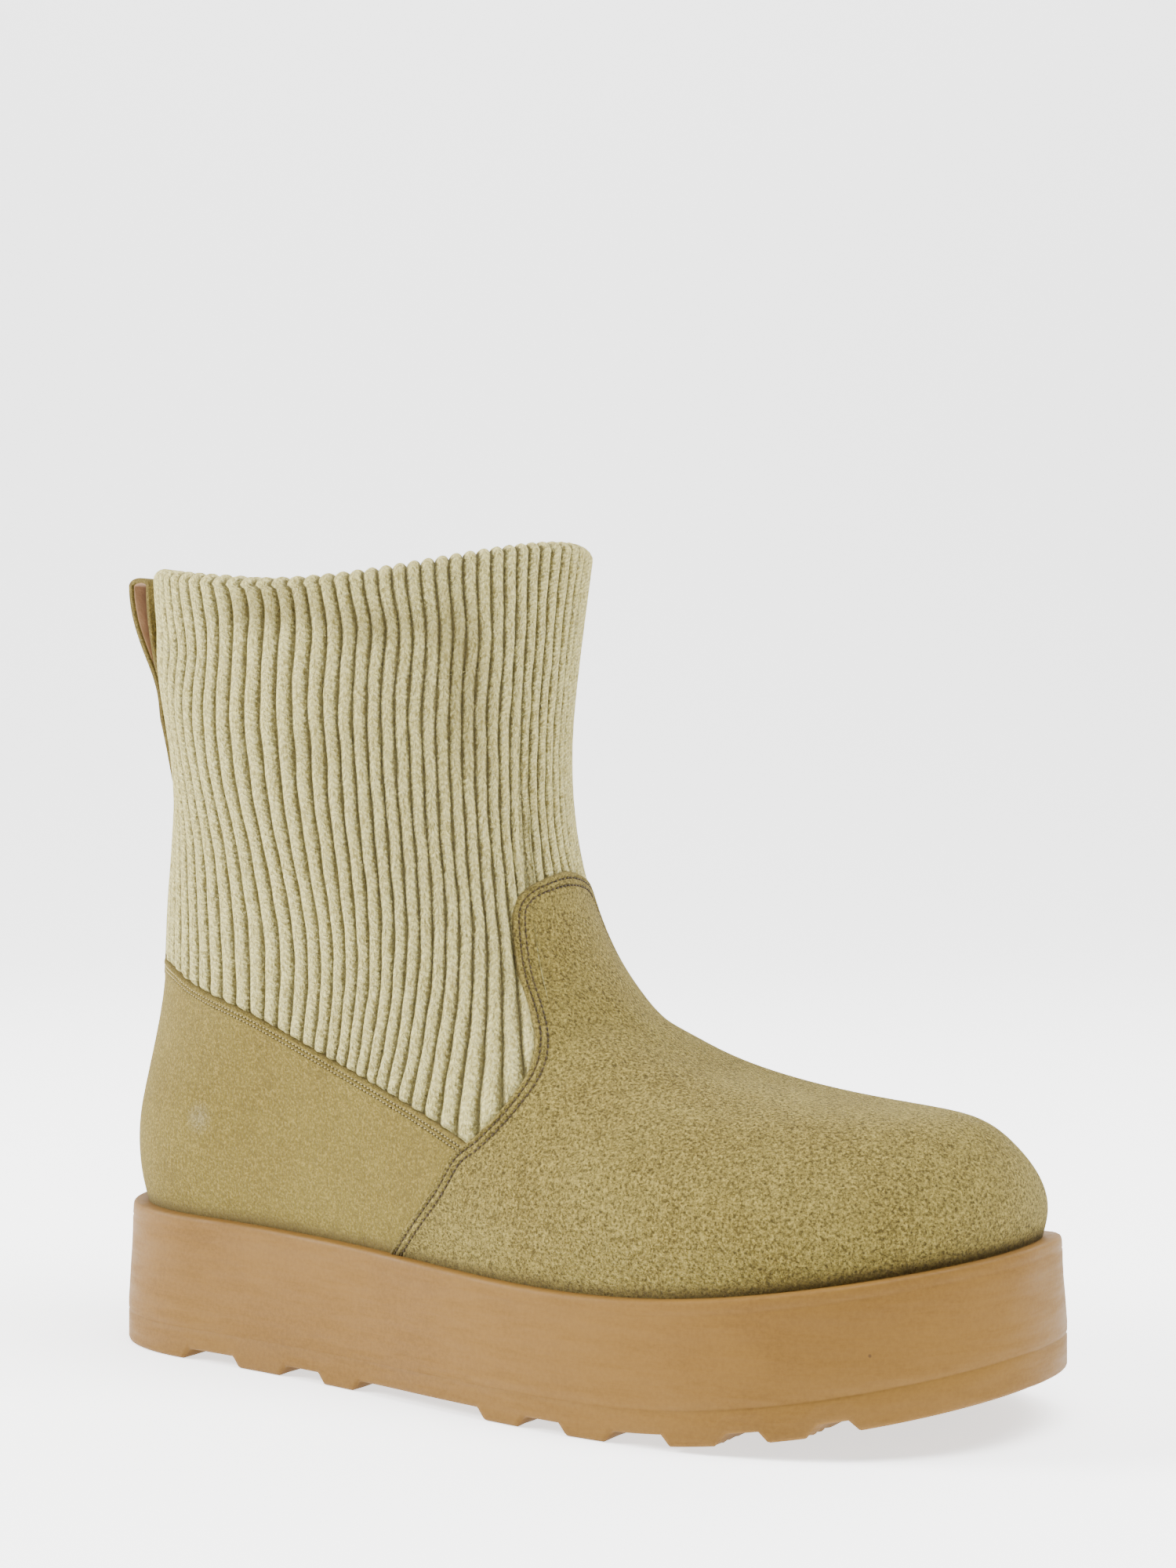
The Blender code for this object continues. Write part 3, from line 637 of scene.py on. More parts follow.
def cloth_paint(name, light, dark, scale=1500):
    """Plain cloth or thread; scale sets how fine its weave is."""
    p = Paint(name)
    weave = p.noise(scale, 3, 0.7)
    color = p.blend(p.span(p.noise(70, 3), 0.3, 0.7), dark, light)
    color = p.blend(p.span(weave, 0.35, 0.7, 0.0, 0.5), color, dark)
    return p.done(color, 0.92, p.bump(weave, 0.0006, 0.5), sheen=0.2, specular=0.2)


KNIT = knit_paint()
VAMP_SUEDE = suede_paint("vamp_suede", tint(150, 134, 68), tint(135, 118, 56), 1.15, VAMP_ROWS, 0.22)
COUNTER_SUEDE = suede_paint(
    "counter_suede", tint(128, 112, 48), tint(118, 101, 40), 0.5, COUNTER_ROWS, 0.80, pale=0.22)
STRAP_SUEDE = suede_paint("strap_suede", tint(124, 107, 42), tint(108, 92, 32), 0.7, STRAP_ROWS, 0.3)
RUBBER = rubber_paint()
LINING = cloth_paint("lining_cloth", tint(206, 182, 150), tint(186, 160, 128))
LOOP_LINING = cloth_paint("loop_lining", tint(168, 136, 104), tint(146, 114, 84), 1100)
DARK_THREAD = cloth_paint("dark_thread", tint(74, 58, 24), tint(52, 40, 16), 3000)
PALE_THREAD = cloth_paint("pale_thread", tint(190, 174, 112), tint(168, 152, 94), 3000)

# The skin: the upper's own surface, with listed hollows pressed in

SKIN, SKIN_OUT = upper_grid(np.linspace(0, 1, SKIN_LEVELS + 1), SKIN_SIDE)

# Soft hollows and swellings: x, z, side (-1 outer, 1 inner, 0 both), reach along x, reach in z,
# slant, and depth, all in metres but the side and the slant
HOLLOWS = (
    (-0.064, 0.2185, -1, 0.020, 0.0075, 0.05, 0.0027),
    (-0.030, 0.2120, -1, 0.016, 0.0070, 0.10, 0.0018),
    (-0.098, 0.2060, -1, 0.012, 0.0080, 0.00, 0.0009),
    (-0.012, 0.1950, -1, 0.006, 0.0300, 0.00, 0.0022),
    (-0.050, 0.1780, -1, 0.018, 0.0100, 0.15, 0.0012),
    (-0.085, 0.1500, -1, 0.016, 0.0110, -0.10, 0.0006),
    (-0.060, 0.2150, 1, 0.022, 0.0080, 0.00, 0.0014),
    (-0.020, 0.1900, 1, 0.009, 0.0250, 0.00, 0.0010),
    (-0.070, 0.1650, 1, 0.018, 0.0110, 0.10, 0.0008),
    (0.0240, 0.1050, -1, 0.007, 0.0180, 0.30, 0.0009),
    (0.0300, 0.0760, -1, 0.012, 0.0080, -0.30, 0.0006),
    (0.0560, 0.0640, -1, 0.010, 0.0060, 0.20, 0.0004),
    (0.0240, 0.1040, 1, 0.008, 0.0160, 0.30, 0.0009),
    (0.0450, 0.0700, 1, 0.012, 0.0070, 0.00, 0.0006),
    (-0.090, 0.0800, -1, 0.020, 0.0100, 0.10, 0.0005),
    (-0.060, 0.0620, -1, 0.018, 0.0060, 0.00, -0.0004),
)


def pressed(points):
    """How far the skin is pressed in at each point."""
    x, y, z = points[..., 0], points[..., 1], points[..., 2]
    depth = np.zeros_like(x)
    for cx, cz, side, reach_x, reach_z, slant, amount in HOLLOWS:
        along = (x - cx) - slant * (z - cz)
        soft = np.exp(-(along / reach_x) ** 2 - ((z - cz) / reach_z) ** 2)
        if side:
            soft = soft * ease(side * y, 0.0, 0.012)
        depth = depth + amount * soft
    return depth


def on_skin(s, t):
    """Place and outward direction at fractional columns and rows of the skin."""
    columns = SKIN.shape[1]
    t = np.clip(t, 0, SKIN_LEVELS - 1e-6)
    row, column = np.floor(t).astype(int), np.floor(s).astype(int)
    v, u = (t - row)[:, None], (s - column)[:, None]
    parts = []
    for table in (SKIN, SKIN_OUT):
        low = table[row, column % columns] * (1 - u) + table[row, (column + 1) % columns] * u
        high = table[row + 1, column % columns] * (1 - u) + table[row + 1, (column + 1) % columns] * u
        parts.append(low * (1 - v) + high * v)
    return parts[0], parts[1] / np.linalg.norm(parts[1], axis=1)[:, None]


# Seams in side view


def inside(points, outline):
    """Which side-view points lie in a closed outline."""
    found = np.zeros(len(points), bool)
    x, z = points[:, 0], points[:, 1]
    for (x0, z0), (x1, z1) in zip(outline, np.roll(outline, -1, 0)):
        crosses = (z0 > z) != (z1 > z)
        where = x0 + (z - z0) * (x1 - x0) / (z1 - z0 if z1 != z0 else 1e-12)
        found ^= crosses & (x < where)
    return found


def from_line(points, line):
    """The distance in side view from each point to a line."""
    best = np.full(len(points), 1e9)
    for start, end in zip(line[:-1], line[1:]):
        along = end - start
        share = np.clip(((points - start) @ along) / (along @ along + 1e-18), 0, 1)
        best = np.minimum(best, np.linalg.norm(points - start - share[:, None] * along, axis=1))
    return best


VAMP_LINE = seam(VAMP_SEAM, VAMP_TOP_HEIGHT)
COUNTER_LINE = seam(COUNTER_SEAM, COUNTER_TOP_HEIGHT)


def seam_inset(points, outline, line):
    """The distance in side view from a seam, positive on the panel's side of it."""
    side = points[:, [0, 2]]
    sign = np.where(inside(side, outline), 1, -1)
    return sign * from_line(side, line)


def vamp_inset(points):
    return seam_inset(points, vamp_outline(), VAMP_LINE)


def counter_inset(points):
    return seam_inset(points, counter_outline(), COUNTER_LINE)


# The strap as seen: a little wider than its solid, so that its edge shows behind the knit
STRAP_SHOWN = 0.034


def strap_inset(points):
    """The distance in from the strap's sides and ends."""
    sides = STRAP_SHOWN / 2 - np.abs(points[:, 1])
    behind = np.where(points[:, 0] < -0.09, 1.0, -1.0)
    ends = np.minimum(points[:, 2] - COUNTER_TOP_HEIGHT + 0.006, STRAP_TOP_HEIGHT - points[:, 2])
    return np.where(behind > 0, np.minimum(sides, ends), -0.01)


# Panels cut from the skin

LIFT = 10.0


def panel(name, material, inset, top, profile, lines, slot, nodes, keep=None, start=0, width=None, step=1):
    """A panel with a rolled edge. profile gives its height over the skin at distances from the
    edge, and lines the distances at which stitches run. Returns the lines' points."""
    columns = SKIN.shape[1]
    count = width or columns
    levels = np.arange(0, int(top * SKIN_LEVELS) + 1, step)
    side = np.arange(start, start + count + 1)
    t, s = np.meshgrid(levels, side, indexing="ij")
    place, out = on_skin(s.ravel().astype(float), t.ravel().astype(float))
    edge = inset(place + 0.0015 * out)
    edge = edge / steepness(edge.reshape(t.shape), place.reshape(*t.shape, 3)).ravel()
    wanted = edge > -0.004
    if keep is not None:
        wanted &= keep(place)
    bm = bmesh.new()
    made = {}
    flat = np.stack([s.ravel(), t.ravel(), edge * 1000 * LIFT], 1)
    wide = count + 1
    for r in range(len(levels) - 1):
        for c in range(count):
            corners = (r * wide + c, r * wide + c + 1, (r + 1) * wide + c + 1, (r + 1) * wide + c)
            if not any(wanted[k] for k in corners):
                continue
            for k in corners:
                if k not in made:
                    made[k] = bm.verts.new(flat[k])
            bm.faces.new([made[k] for k in corners])
    distances = [d for d, _ in profile]
    for k, cut in enumerate(distances):
        bmesh.ops.bisect_plane(
            bm, geom=bm.verts[:] + bm.edges[:] + bm.faces[:], dist=1e-6,
            plane_co=(0, 0, cut * LIFT), plane_no=(0, 0, 1), clear_inner=(k == 0),
        )
    bmesh.ops.remove_doubles(bm, verts=bm.verts, dist=1e-5)
    bm.verts.index_update()
    flat = np.array([v.co for v in bm.verts])
    faces = [tuple(v.index for v in f.verts) for f in bm.faces]
    runs = {}
    for line in lines:
        level = line * LIFT
        on_line = {v.index for v in bm.verts if abs(v.co.z - level) < 1e-3}
        edges = [tuple(v.index for v in e.verts) for e in bm.edges
                 if e.verts[0].index in on_line and e.verts[1].index in on_line]
        runs[line] = chains(edges)
    bm.free()
    place, out = on_skin(flat[:, 0], flat[:, 1])
    depth = flat[:, 2] / LIFT
    height = np.interp(depth, distances, [h for _, h in profile]) / 1000
    place = place + (height - pressed(place))[:, None] * out
    place[flat[:, 1] < 0.01, 2] -= 0.0012
    # Height over the sole and distance in from the edge, in millimetres, for the suede's colour: darker just
    # above the sole, with painted shade along the edge and the rows of stitches
    above = (place[:, 2] - sole_top(place[:, 0])) * 1000
    thing = mesh_object(name, place, faces, material, extra={"above": above, "inset": depth})
    finish_piece(thing, slot, *nodes)
    return {line: [(place[run], out[run]) for run in found] for line, found in runs.items()}


def steepness(values, place):
    """How fast values on a grid of places change along the surface, kept between 0.35 and 1."""
    by_t, by_s = np.gradient(values)
    along_t, along_s = np.gradient(place, axis=0), np.gradient(place, axis=1)
    tt, ss, ts = (np.sum(a * b, axis=2) for a, b in
                  ((along_t, along_t), (along_s, along_s), (along_t, along_s)))
    square = (ss * by_t**2 - 2 * ts * by_t * by_s + tt * by_s**2) / (tt * ss - ts**2 + 1e-18)
    return np.clip(np.sqrt(np.maximum(square, 0)), 0.35, 1.0)


def chains(edges):
    """Edges joined end to end into runs of point numbers."""
    beside = {}
    for a, b in edges:
        beside.setdefault(a, []).append(b)
        beside.setdefault(b, []).append(a)
    runs, used = [], set()
    ends = [k for k, near in beside.items() if len(near) == 1] + list(beside)
    for first in ends:
        if first in used:
            continue
        run = [first]
        used.add(first)
        while True:
            onward = [k for k in beside[run[-1]] if k not in used]
            if not onward:
                break
            run.append(onward[0])
            used.add(onward[0])
        if len(run) > 8:
            runs.append(np.array(run))
    return runs


def stitches(name, paths, material, pitch, length, thick, sink, slot):
    """Short rounded threads along paths of (points, outward directions), joined in one mesh."""
    points, faces = [], []
    around, rings = 6, 5
    turn = np.linspace(0, 2 * math.pi, around, endpoint=False)
    for place, out in paths:
        gap = np.linalg.norm(np.diff(place, axis=0), axis=1)
        total = np.concatenate([[0], np.cumsum(gap)])
        for k in range(int(total[-1] / pitch)):
            middle = (k + 0.5) * pitch + RNG.normal(0, 0.04) * pitch
            spots = np.stack([np.interp(middle + d * length / 2, total, place[:, a])
                              for d in (-1, 1) for a in range(3)]).reshape(2, 3)
            normal = np.array([np.interp(middle, total, out[:, a]) for a in range(3)])
            normal /= np.linalg.norm(normal)
            along = spots[1] - spots[0]
            reach = np.linalg.norm(along)
            if reach < 1e-6:
                continue
            along /= reach
            side = np.cross(normal, along)
            base = len(points)
            for share in np.linspace(-1, 1, rings):
                round_off = math.sqrt(max(0.0, 1 - (abs(share) * 0.96) ** 3))
                centre = (spots[0] + spots[1]) / 2 + share * along * length / 2
                centre = centre + normal * (thick * 0.35 * round_off - sink)
                for angle in turn:
                    points.append(centre + thick / 2 * round_off * (
                        side * math.cos(angle) + normal * math.sin(angle)))
            for r in range(rings - 1):
                for c in range(around):
                    d = (c + 1) % around
                    faces.append((base + r * around + c, base + r * around + d,
                                  base + (r + 1) * around + d, base + (r + 1) * around + c))
            faces.append(tuple(base + c for c in range(around))[::-1])
            faces.append(tuple(base + (rings - 1) * around + c for c in range(around)))
    thing = mesh_object(name, points, faces, material)
    return finish_piece(thing, slot)


# Distance from the edge and height over the skin, in millimetres
VAMP_PROFILE = (
    (0.0, -0.2), (0.10, 1.20), (0.30, 2.10), (0.70, 2.65), (1.20, 2.70), (1.60, 2.35), (1.85, 1.95),
    (2.10, 2.25), (2.60, 2.55), (3.10, 2.50), (3.50, 2.20), (3.80, 1.80), (4.10, 2.00), (4.80, 2.20),
    (6.50, 2.05), (9.00, 1.90),
)
COUNTER_PROFILE = (
    (0.0, -0.2), (0.10, 1.05), (0.30, 1.80), (0.65, 2.25), (1.15, 2.25), (1.45, 1.95), (1.65, 1.60),
    (1.90, 1.85), (2.35, 2.10), (2.75, 1.85), (2.95, 1.50), (3.20, 1.80), (3.80, 1.90), (6.00, 1.75),
)
STRAP_PROFILE = (
    (0.0, -0.2), (0.10, 0.9), (0.35, 1.7), (0.8, 2.1), (1.4, 2.0), (1.8, 1.75), (2.2, 1.95), (3.0, 2.1),
)

half_turn = SKIN.shape[1] // 2
vamp_paths = panel(
    "vamp_panel", VAMP_SUEDE, vamp_inset, 0.86, VAMP_PROFILE, VAMP_ROWS, "suede", ("vamp",),
    keep=lambda place: place[:, 0] > -0.035)
counter_paths = panel(
    "counter_panel", COUNTER_SUEDE, counter_inset, 0.70, COUNTER_PROFILE, COUNTER_ROWS, "suede",
    ("heel_counter",), keep=lambda place: (place[:, 0] < 0.02) & (vamp_inset(place) < 0.0035),
    start=-half_turn, width=2 * half_turn)
strap_paths = panel(
    "strap_panel", STRAP_SUEDE, strap_inset, 1.0, STRAP_PROFILE, STRAP_ROWS, "suede", ("back_strap",),
    keep=lambda place: (place[:, 0] < -0.09) & (np.abs(place[:, 1]) < 0.026), start=-40, width=80)
# Each panel's threads: their pitch, length, thickness and how deep they sit
for thread, paths, colour, sizes in (
    ("vamp_thread", vamp_paths, DARK_THREAD, (0.00175, 0.00125, 0.00064, -0.00006)),
    ("counter_thread", counter_paths, PALE_THREAD, (0.00130, 0.00064, 0.00052, 0.00000)),
    ("strap_thread", strap_paths, DARK_THREAD, (0.0017, 0.0012, 0.00050, 0.00008)),
):
    stitches(thread, [run for row in paths.values() for run in row], colour, *sizes, "suede")

# The ribbed knit

RIBS = 78
# How wide the ribs are round the collar, from the back's middle to the front's, as the knit is
# pulled more over the heel than at the front
RIB_WIDTHS = (
    (0.0, 1.25), (0.14, 1.40), (0.21, 1.45), (0.25, 1.38), (0.28, 1.25),
    (0.31, 1.08), (0.35, 0.97), (0.42, 0.95), (0.46, 0.86), (0.50, 1.00),
)
# How far the ribs have drifted forward at heights on the boot's sides: metres, millimetres
RIB_LEAN = (
    (0.2400, 0.0), (0.1850, 0.0), (0.1700, 1.0), (0.1600, 2.1), (0.1480, 3.4), (0.1370, 4.4),
    (0.1285, 4.8), (0.1200, 4.5), (0.1110, 3.7), (0.1030, 2.3), (0.0935, 0.3), (0.0800, -4.0),
    (0.0660, -8.5),
)
RIB_PHASES = (0.0, 0.055, 0.13, 0.23, 0.36, 0.5, 0.64, 0.77, 0.87, 0.945)
RIB_HEIGHT = 0.0019
KNIT_BASE = 0.0001
KNIT_ROWS = 84
STITCH_PITCH = 0.0017
RIM_RADIUS = 0.0020
RIM_ROWS = 8
TUCK_ROWS = 16
TUCK_DEPTH = 0.030
# How far inside the collar the rays to the skin start, and where the ribs end at the lowest
RAY_START = 0.020
KNIT_LOWEST = 0.062


def skin_tree():
    rows, columns = SKIN.shape[:2]
    points = [Vector(p) for p in SKIN.reshape(-1, 3)]
    return BVHTree.FromPolygons(points, quads(rows, columns, cyclic=True))


def knit_shaft():
    """The shaft's knit, rib by rib, rolled over at the collar and tucked down inside."""
    tree = skin_tree()
    rim = np.concatenate([SKIN[-1], SKIN[-1][:1]])
    length = np.concatenate([[0], np.cumsum(np.linalg.norm(np.diff(rim, axis=0), axis=1))])
    across = np.array([rib + phase for rib in range(RIBS) for phase in RIB_PHASES])
    fine = np.linspace(0, 1, 2000)
    known, widths = np.array(RIB_WIDTHS).T
    passed = np.cumsum(1 / np.interp(np.minimum(fine, 1 - fine), known, widths))
    passed = (passed - passed[0]) / (passed[-1] - passed[0])
    spots = np.interp(across / RIBS, passed, fine) * length[-1]
    top = np.stack([np.interp(spots, length, rim[:, k]) for k in range(3)], 1)
    middle = (top[:, 0].min() + top[:, 0].max()) / 2
    columns = len(across)
    angle = np.arctan2(top[:, 1], top[:, 0] - middle)
    sideways = np.abs(top[:, 1]) / np.abs(top[:, 1]).max()
    z_top = top[:, 2] - RIM_RADIUS
    z_foot = np.full(columns, KNIT_LOWEST)

    facing = np.roll(top, -8, 0) - np.roll(top, 8, 0)
    facing = np.stack([facing[:, 1], -facing[:, 0]], 1) / np.linalg.norm(facing[:, :2], axis=1)[:, None]
    root = top[:, :2] - RAY_START * facing
    lean_z, lean_x = np.array(RIB_LEAN[::-1]).T
    pulled = sideways * (0.30 + 0.70 * ease(top[:, 0], -0.125, -0.065))

    def cast(c, z, drift):
        lean = np.interp(z, lean_z, lean_x) / 1000 * pulled[c]
        x, y = root[c, 0] + lean - drift * facing[c, 1], root[c, 1] + drift * facing[c, 0]
        return tree.ray_cast(Vector((x, y, z)), Vector((facing[c, 0], facing[c, 1], 0)))[0]

    # Where the last uncovered bit of each column is
    probe_z = np.linspace(0.068, 0.150, 42)
    for c in range(0, columns, 4):
        found = []
        for z in probe_z:
            hit = cast(c, z, 0.0)
            found.append(hit if hit is not None else Vector((0, 0, 0)))
        found = np.array(found)
        covered = (vamp_inset(found) > 0.0003) | (counter_inset(found) > 0.0003)
        open_z = probe_z[~covered]
        z_foot[c:c + 4] = (open_z.min() if len(open_z) else 0.148) - 0.004
    z_foot = np.minimum(np.minimum(z_foot, np.roll(z_foot, 4)), np.roll(z_foot, -4))

    share = np.linspace(0, 1, KNIT_ROWS)
    z = z_top[:, None] + (z_foot - z_top)[:, None] * share
    rib = np.repeat(np.arange(RIBS), len(RIB_PHASES)).astype(float)
    turn_x, turn_y = np.cos(angle)[:, None] * 2, np.sin(angle)[:, None] * 2
    drift = 0.00085 * ripple(turn_x + 0 * z, turn_y + 0 * z, z * 55, seed=3, octaves=2)
    drift = drift + 0.00022 * np.sin(z * 330 + rib[:, None] * 2.4) * np.sin(z * 97 + rib[:, None] * 1.3)
    drift = drift * ease(share, 0.0, 0.10)
    bulge = np.exp(-(((z - 0.2095) / 0.010) ** 2)) - 0.5 * np.exp(-(((z - 0.187) / 0.012) ** 2))
    drift = drift + 0.0010 * bulge * (sideways * (top[:, 1] < 0))[:, None]
    body = np.zeros((columns, KNIT_ROWS, 3))
    for c in range(columns):
        for r in range(KNIT_ROWS):
            hit = cast(c, z[c, r], drift[c, r])
            body[c, r] = hit if hit is not None else body[c, r - 1]
    around = np.roll(body, -8, 0) - np.roll(body, 8, 0)
    upward = -np.gradient(body, axis=1)
    out = np.cross(around, upward)
    out /= np.linalg.norm(out, axis=2, keepdims=True)
    phase = across - np.floor(across)
    rounded = (1 - np.abs(2 * phase - 1) ** 2.1) ** 0.72
    flat = body.reshape(-1, 3)
    covered = np.maximum(vamp_inset(flat), counter_inset(flat)).reshape(columns, KNIT_ROWS)
    squash = 1 - 0.92 * ease(covered, -0.0009, 0.0006)
    tall = RIB_HEIGHT * (1 + 0.10 * ripple(turn_x + 0 * z, turn_y + 0 * z, z * 40, seed=8))
    lift = KNIT_BASE + rounded[:, None] * tall * squash
    dent = pressed(body)
    body = body + (lift - dent)[:, :, None] * out
    # The rolled collar and the tuck inside it
    level = out[:, 0] * (1, 1, 0)
    level /= np.linalg.norm(level, axis=1)[:, None]
    roll = []
    relief = rounded * RIB_HEIGHT
    centre = top - (0, 0, RIM_RADIUS) - level * (RIM_RADIUS - 0.0002)
    for bend in np.linspace(0, math.pi, RIM_ROWS + 2)[1:]:
        reach = RIM_RADIUS + relief * (1 - 0.35 * (1 - math.cos(bend)) / 2)
        roll.append(centre + level * (np.cos(bend) * reach)[:, None]
                    + np.array([0, 0, 1]) * (np.sin(bend) * reach)[:, None])
    for k in range(1, TUCK_ROWS):
        drop = TUCK_DEPTH * k / (TUCK_ROWS - 1)
        rows = np.interp(top[:, 2] - RIM_RADIUS - drop, SKIN[:, 0, 2], np.arange(SKIN_LEVELS + 1))
        place, direction = on_skin(spots / length[-1] * SKIN.shape[1], rows)
        depth = KNIT_WALL - 0.35 * relief + 0.0010 + 0.0006 * ease(k, TUCK_ROWS - 3, TUCK_ROWS - 1)
        depth = depth + pressed(place)
        spot = place - direction * depth[:, None]
        spot[:, 2] = top[:, 2] - RIM_RADIUS - drop
        roll.append(spot)
    # The tuck's end closes outward against the lining
    roll.append(roll[-1] + direction * 0.0026)
    rows = roll[::-1] + [body[:, r] for r in range(KNIT_ROWS)]
    rows = np.array(rows)
    gap = np.linalg.norm(np.diff(rows, axis=0), axis=2).mean(axis=1)
    travel = np.concatenate([[0], np.cumsum(gap)]) / STITCH_PITCH
    uv = np.stack(np.broadcast_arrays(across[None, :], travel[:, None]), -1)
    # The last column meets the first again under its own pattern place
    rows = np.concatenate([rows, rows[:, :1]], axis=1)
    uv = np.concatenate([uv, np.stack([np.full(len(rows), float(RIBS)), travel], 1)[:, None]], axis=1)
    # The hollows' depth in millimetres, stored as dent for the painted shade in the knit's colour
    shade = np.zeros((len(rows), columns + 1))
    shade[-KNIT_ROWS:, :-1] = dent.T * 1000
    shade[:, -1] = shade[:, 0]
    thing = mesh_object("knit_shaft", rows.reshape(-1, 3), quads(len(rows), columns + 1, flip=True), KNIT,
                        uv=uv.reshape(-1, 2), extra={"dent": shade.ravel()})
    return finish_piece(thing, "knit", "upper")


knit_shaft()


def inner_lining():
    """The sock's inside, from the tuck down to the insole."""
    drop = SKIN[-1, :, 2] - SKIN[:, :, 2]
    levels = np.arange(0, np.where(drop.min(axis=1) > TUCK_DEPTH - 0.008)[0][-1] + 1, 3)
    sides = np.arange(0, SKIN.shape[1], 2)
    t, s = np.meshgrid(levels, sides, indexing="ij")
    place, out = on_skin(s.ravel().astype(float), t.ravel().astype(float))
    place = place - out * (KNIT_WALL - 0.0001) - out * pressed(place)[:, None]
    thing = mesh_object("lining", place, quads(len(levels), len(sides), cyclic=True, flip=True), LINING)
    return finish_piece(thing, "lining")


inner_lining()

# The sole


def sole_unit():
    """Sole and tread in one moulded piece, with the parting line and the soft top edge."""
    top, low = sole_top, tread_height
    loops, radius = [], SOLE_EDGE_RADIUS
    loops.append((0.012, top))
    loops.append((0.0035, top))
    for bend in np.linspace(0, math.pi / 2, 5):
        loops.append((radius * (1 - math.sin(bend)), lambda x, b=bend: top(x) - radius * (1 - math.cos(b))))
    for share, inset in ((0.06, 0.0), (0.115, 0.0), (0.135, 0.00016), (0.155, 0.0), (0.28, 0.00010),
                         (0.42, 0.00012), (0.56, 0.0)):
        loops.append((inset - SOLE_FLARE * share, lambda x, k=share: top(x) + (parting(x) - top(x)) * k))
    for drop, inset in ((-0.0030, 0.0), (-0.0006, 0.0), (-0.0002, 0.00022), (0.0002, 0.00022), (0.0006, 0.0)):
        loops.append((inset - SOLE_FLARE, lambda x, d=drop: parting(x) - d))
    for rise in (0.0045, 0.0022, 0.0009, 0.0003):
        tuck = 0.0006 * (1 - min(rise / 0.0009, 1.0)) ** 2
        loops.append((tuck - SOLE_FLARE, lambda x, r=rise: low(x) + r))
    loops.append((0.0009 - SOLE_FLARE, low))
    for inset in (0.0035, 0.0070, 0.0110):
        loops.append((inset, low))
    made = [at_height(sole_outline(inset), height) for inset, height in loops]
    count = len(made[0])
    faces = quads(len(made), count, cyclic=True, flip=True)
    last = (len(made) - 1) * count
    for i in range(count // 2):
        strip = list(dict.fromkeys([i, i + 1, (count - i - 1) % count, (count - i) % count]))
        faces += [tuple(strip[::-1]), tuple(last + k for k in strip)]
    faces = [f[::-1] if k >= len(faces) - 2 * (count // 2) else f for k, f in enumerate(faces)]
    thing = mesh_object("sole_unit", np.concatenate(made), faces, RUBBER)
    turn_outward(thing)
    return finish_piece(thing, "rubber", "outsole", "midsole")


def parting(x):
    return sole_bottom(x) + OUTSOLE_THICKNESS


def tread_height(x):
    """The tread's height with its grooves, whose ends slant."""
    station = x / SOLE_LENGTH + 0.5
    rise = np.zeros_like(x)
    slant = TREAD_SLANT / SOLE_LENGTH
    for opened, closed in TREAD_GROOVES:
        share = np.minimum((station - opened) / slant, (closed - station) / slant)
        rise = np.maximum(rise, TREAD_DEPTH * np.clip(share, 0, 1))
    return sole_bottom(x) + rise


def at_height(loop, height):
    return np.column_stack([loop[:, 0], loop[:, 1], height(loop[:, 0])])


sole_unit()

# The pull loop


# How far the band runs on down into the strap below its root
LOOP_TAIL = 0.022


def loop_path():
    """The middle of the folded band in side view, from its root on the strap over and back down."""
    spine = SKIN[:, 0]
    known = np.arange(len(LOOP_SECTIONS))
    up, lean, apart = smooth(np.linspace(0, known[-1], 60), known, LOOP_SECTIONS).T
    z = LOOP_ROOT_HEIGHT + (LOOP_TOP_HEIGHT - LOOP_ROOT_HEIGHT) * up
    seat = np.interp(LOOP_ROOT_HEIGHT, spine[:, 2], spine[:, 0]) - STRAP_THICKNESS - 2 * SURFACE_GAP
    half = np.clip(apart, 0, 1) * LOOP_OPENING / 2 + LOOP_BAND / 2
    middle = seat - LOOP_BAND - LOOP_REACH * lean
    crown = LOOP_TOP_HEIGHT - z[-1] - LOOP_BAND / 2
    turn = np.linspace(0, math.pi, 26)
    near = np.stack([middle + half, z], 1)
    over = np.stack([middle[-1] + half[-1] * np.cos(turn), z[-1] + crown * np.sin(turn)], 1)
    far = np.stack([middle - half, z], 1)
    drop = np.linspace(1, 0, 13)[:-1]
    low = LOOP_ROOT_HEIGHT - LOOP_TAIL * drop
    back = np.interp(low, spine[:, 2], spine[:, 0]) - LOOP_BAND / 2
    inner = np.stack([back + (near[0, 0] - back[-1]) * (1 - drop), low], 1)
    outer = np.stack([back + (far[0, 0] - back[-1]) * (1 - drop) ** 0.7, low], 1)
    return np.concatenate([inner, near[:-1], over, far[-2::-1], outer[::-1]])


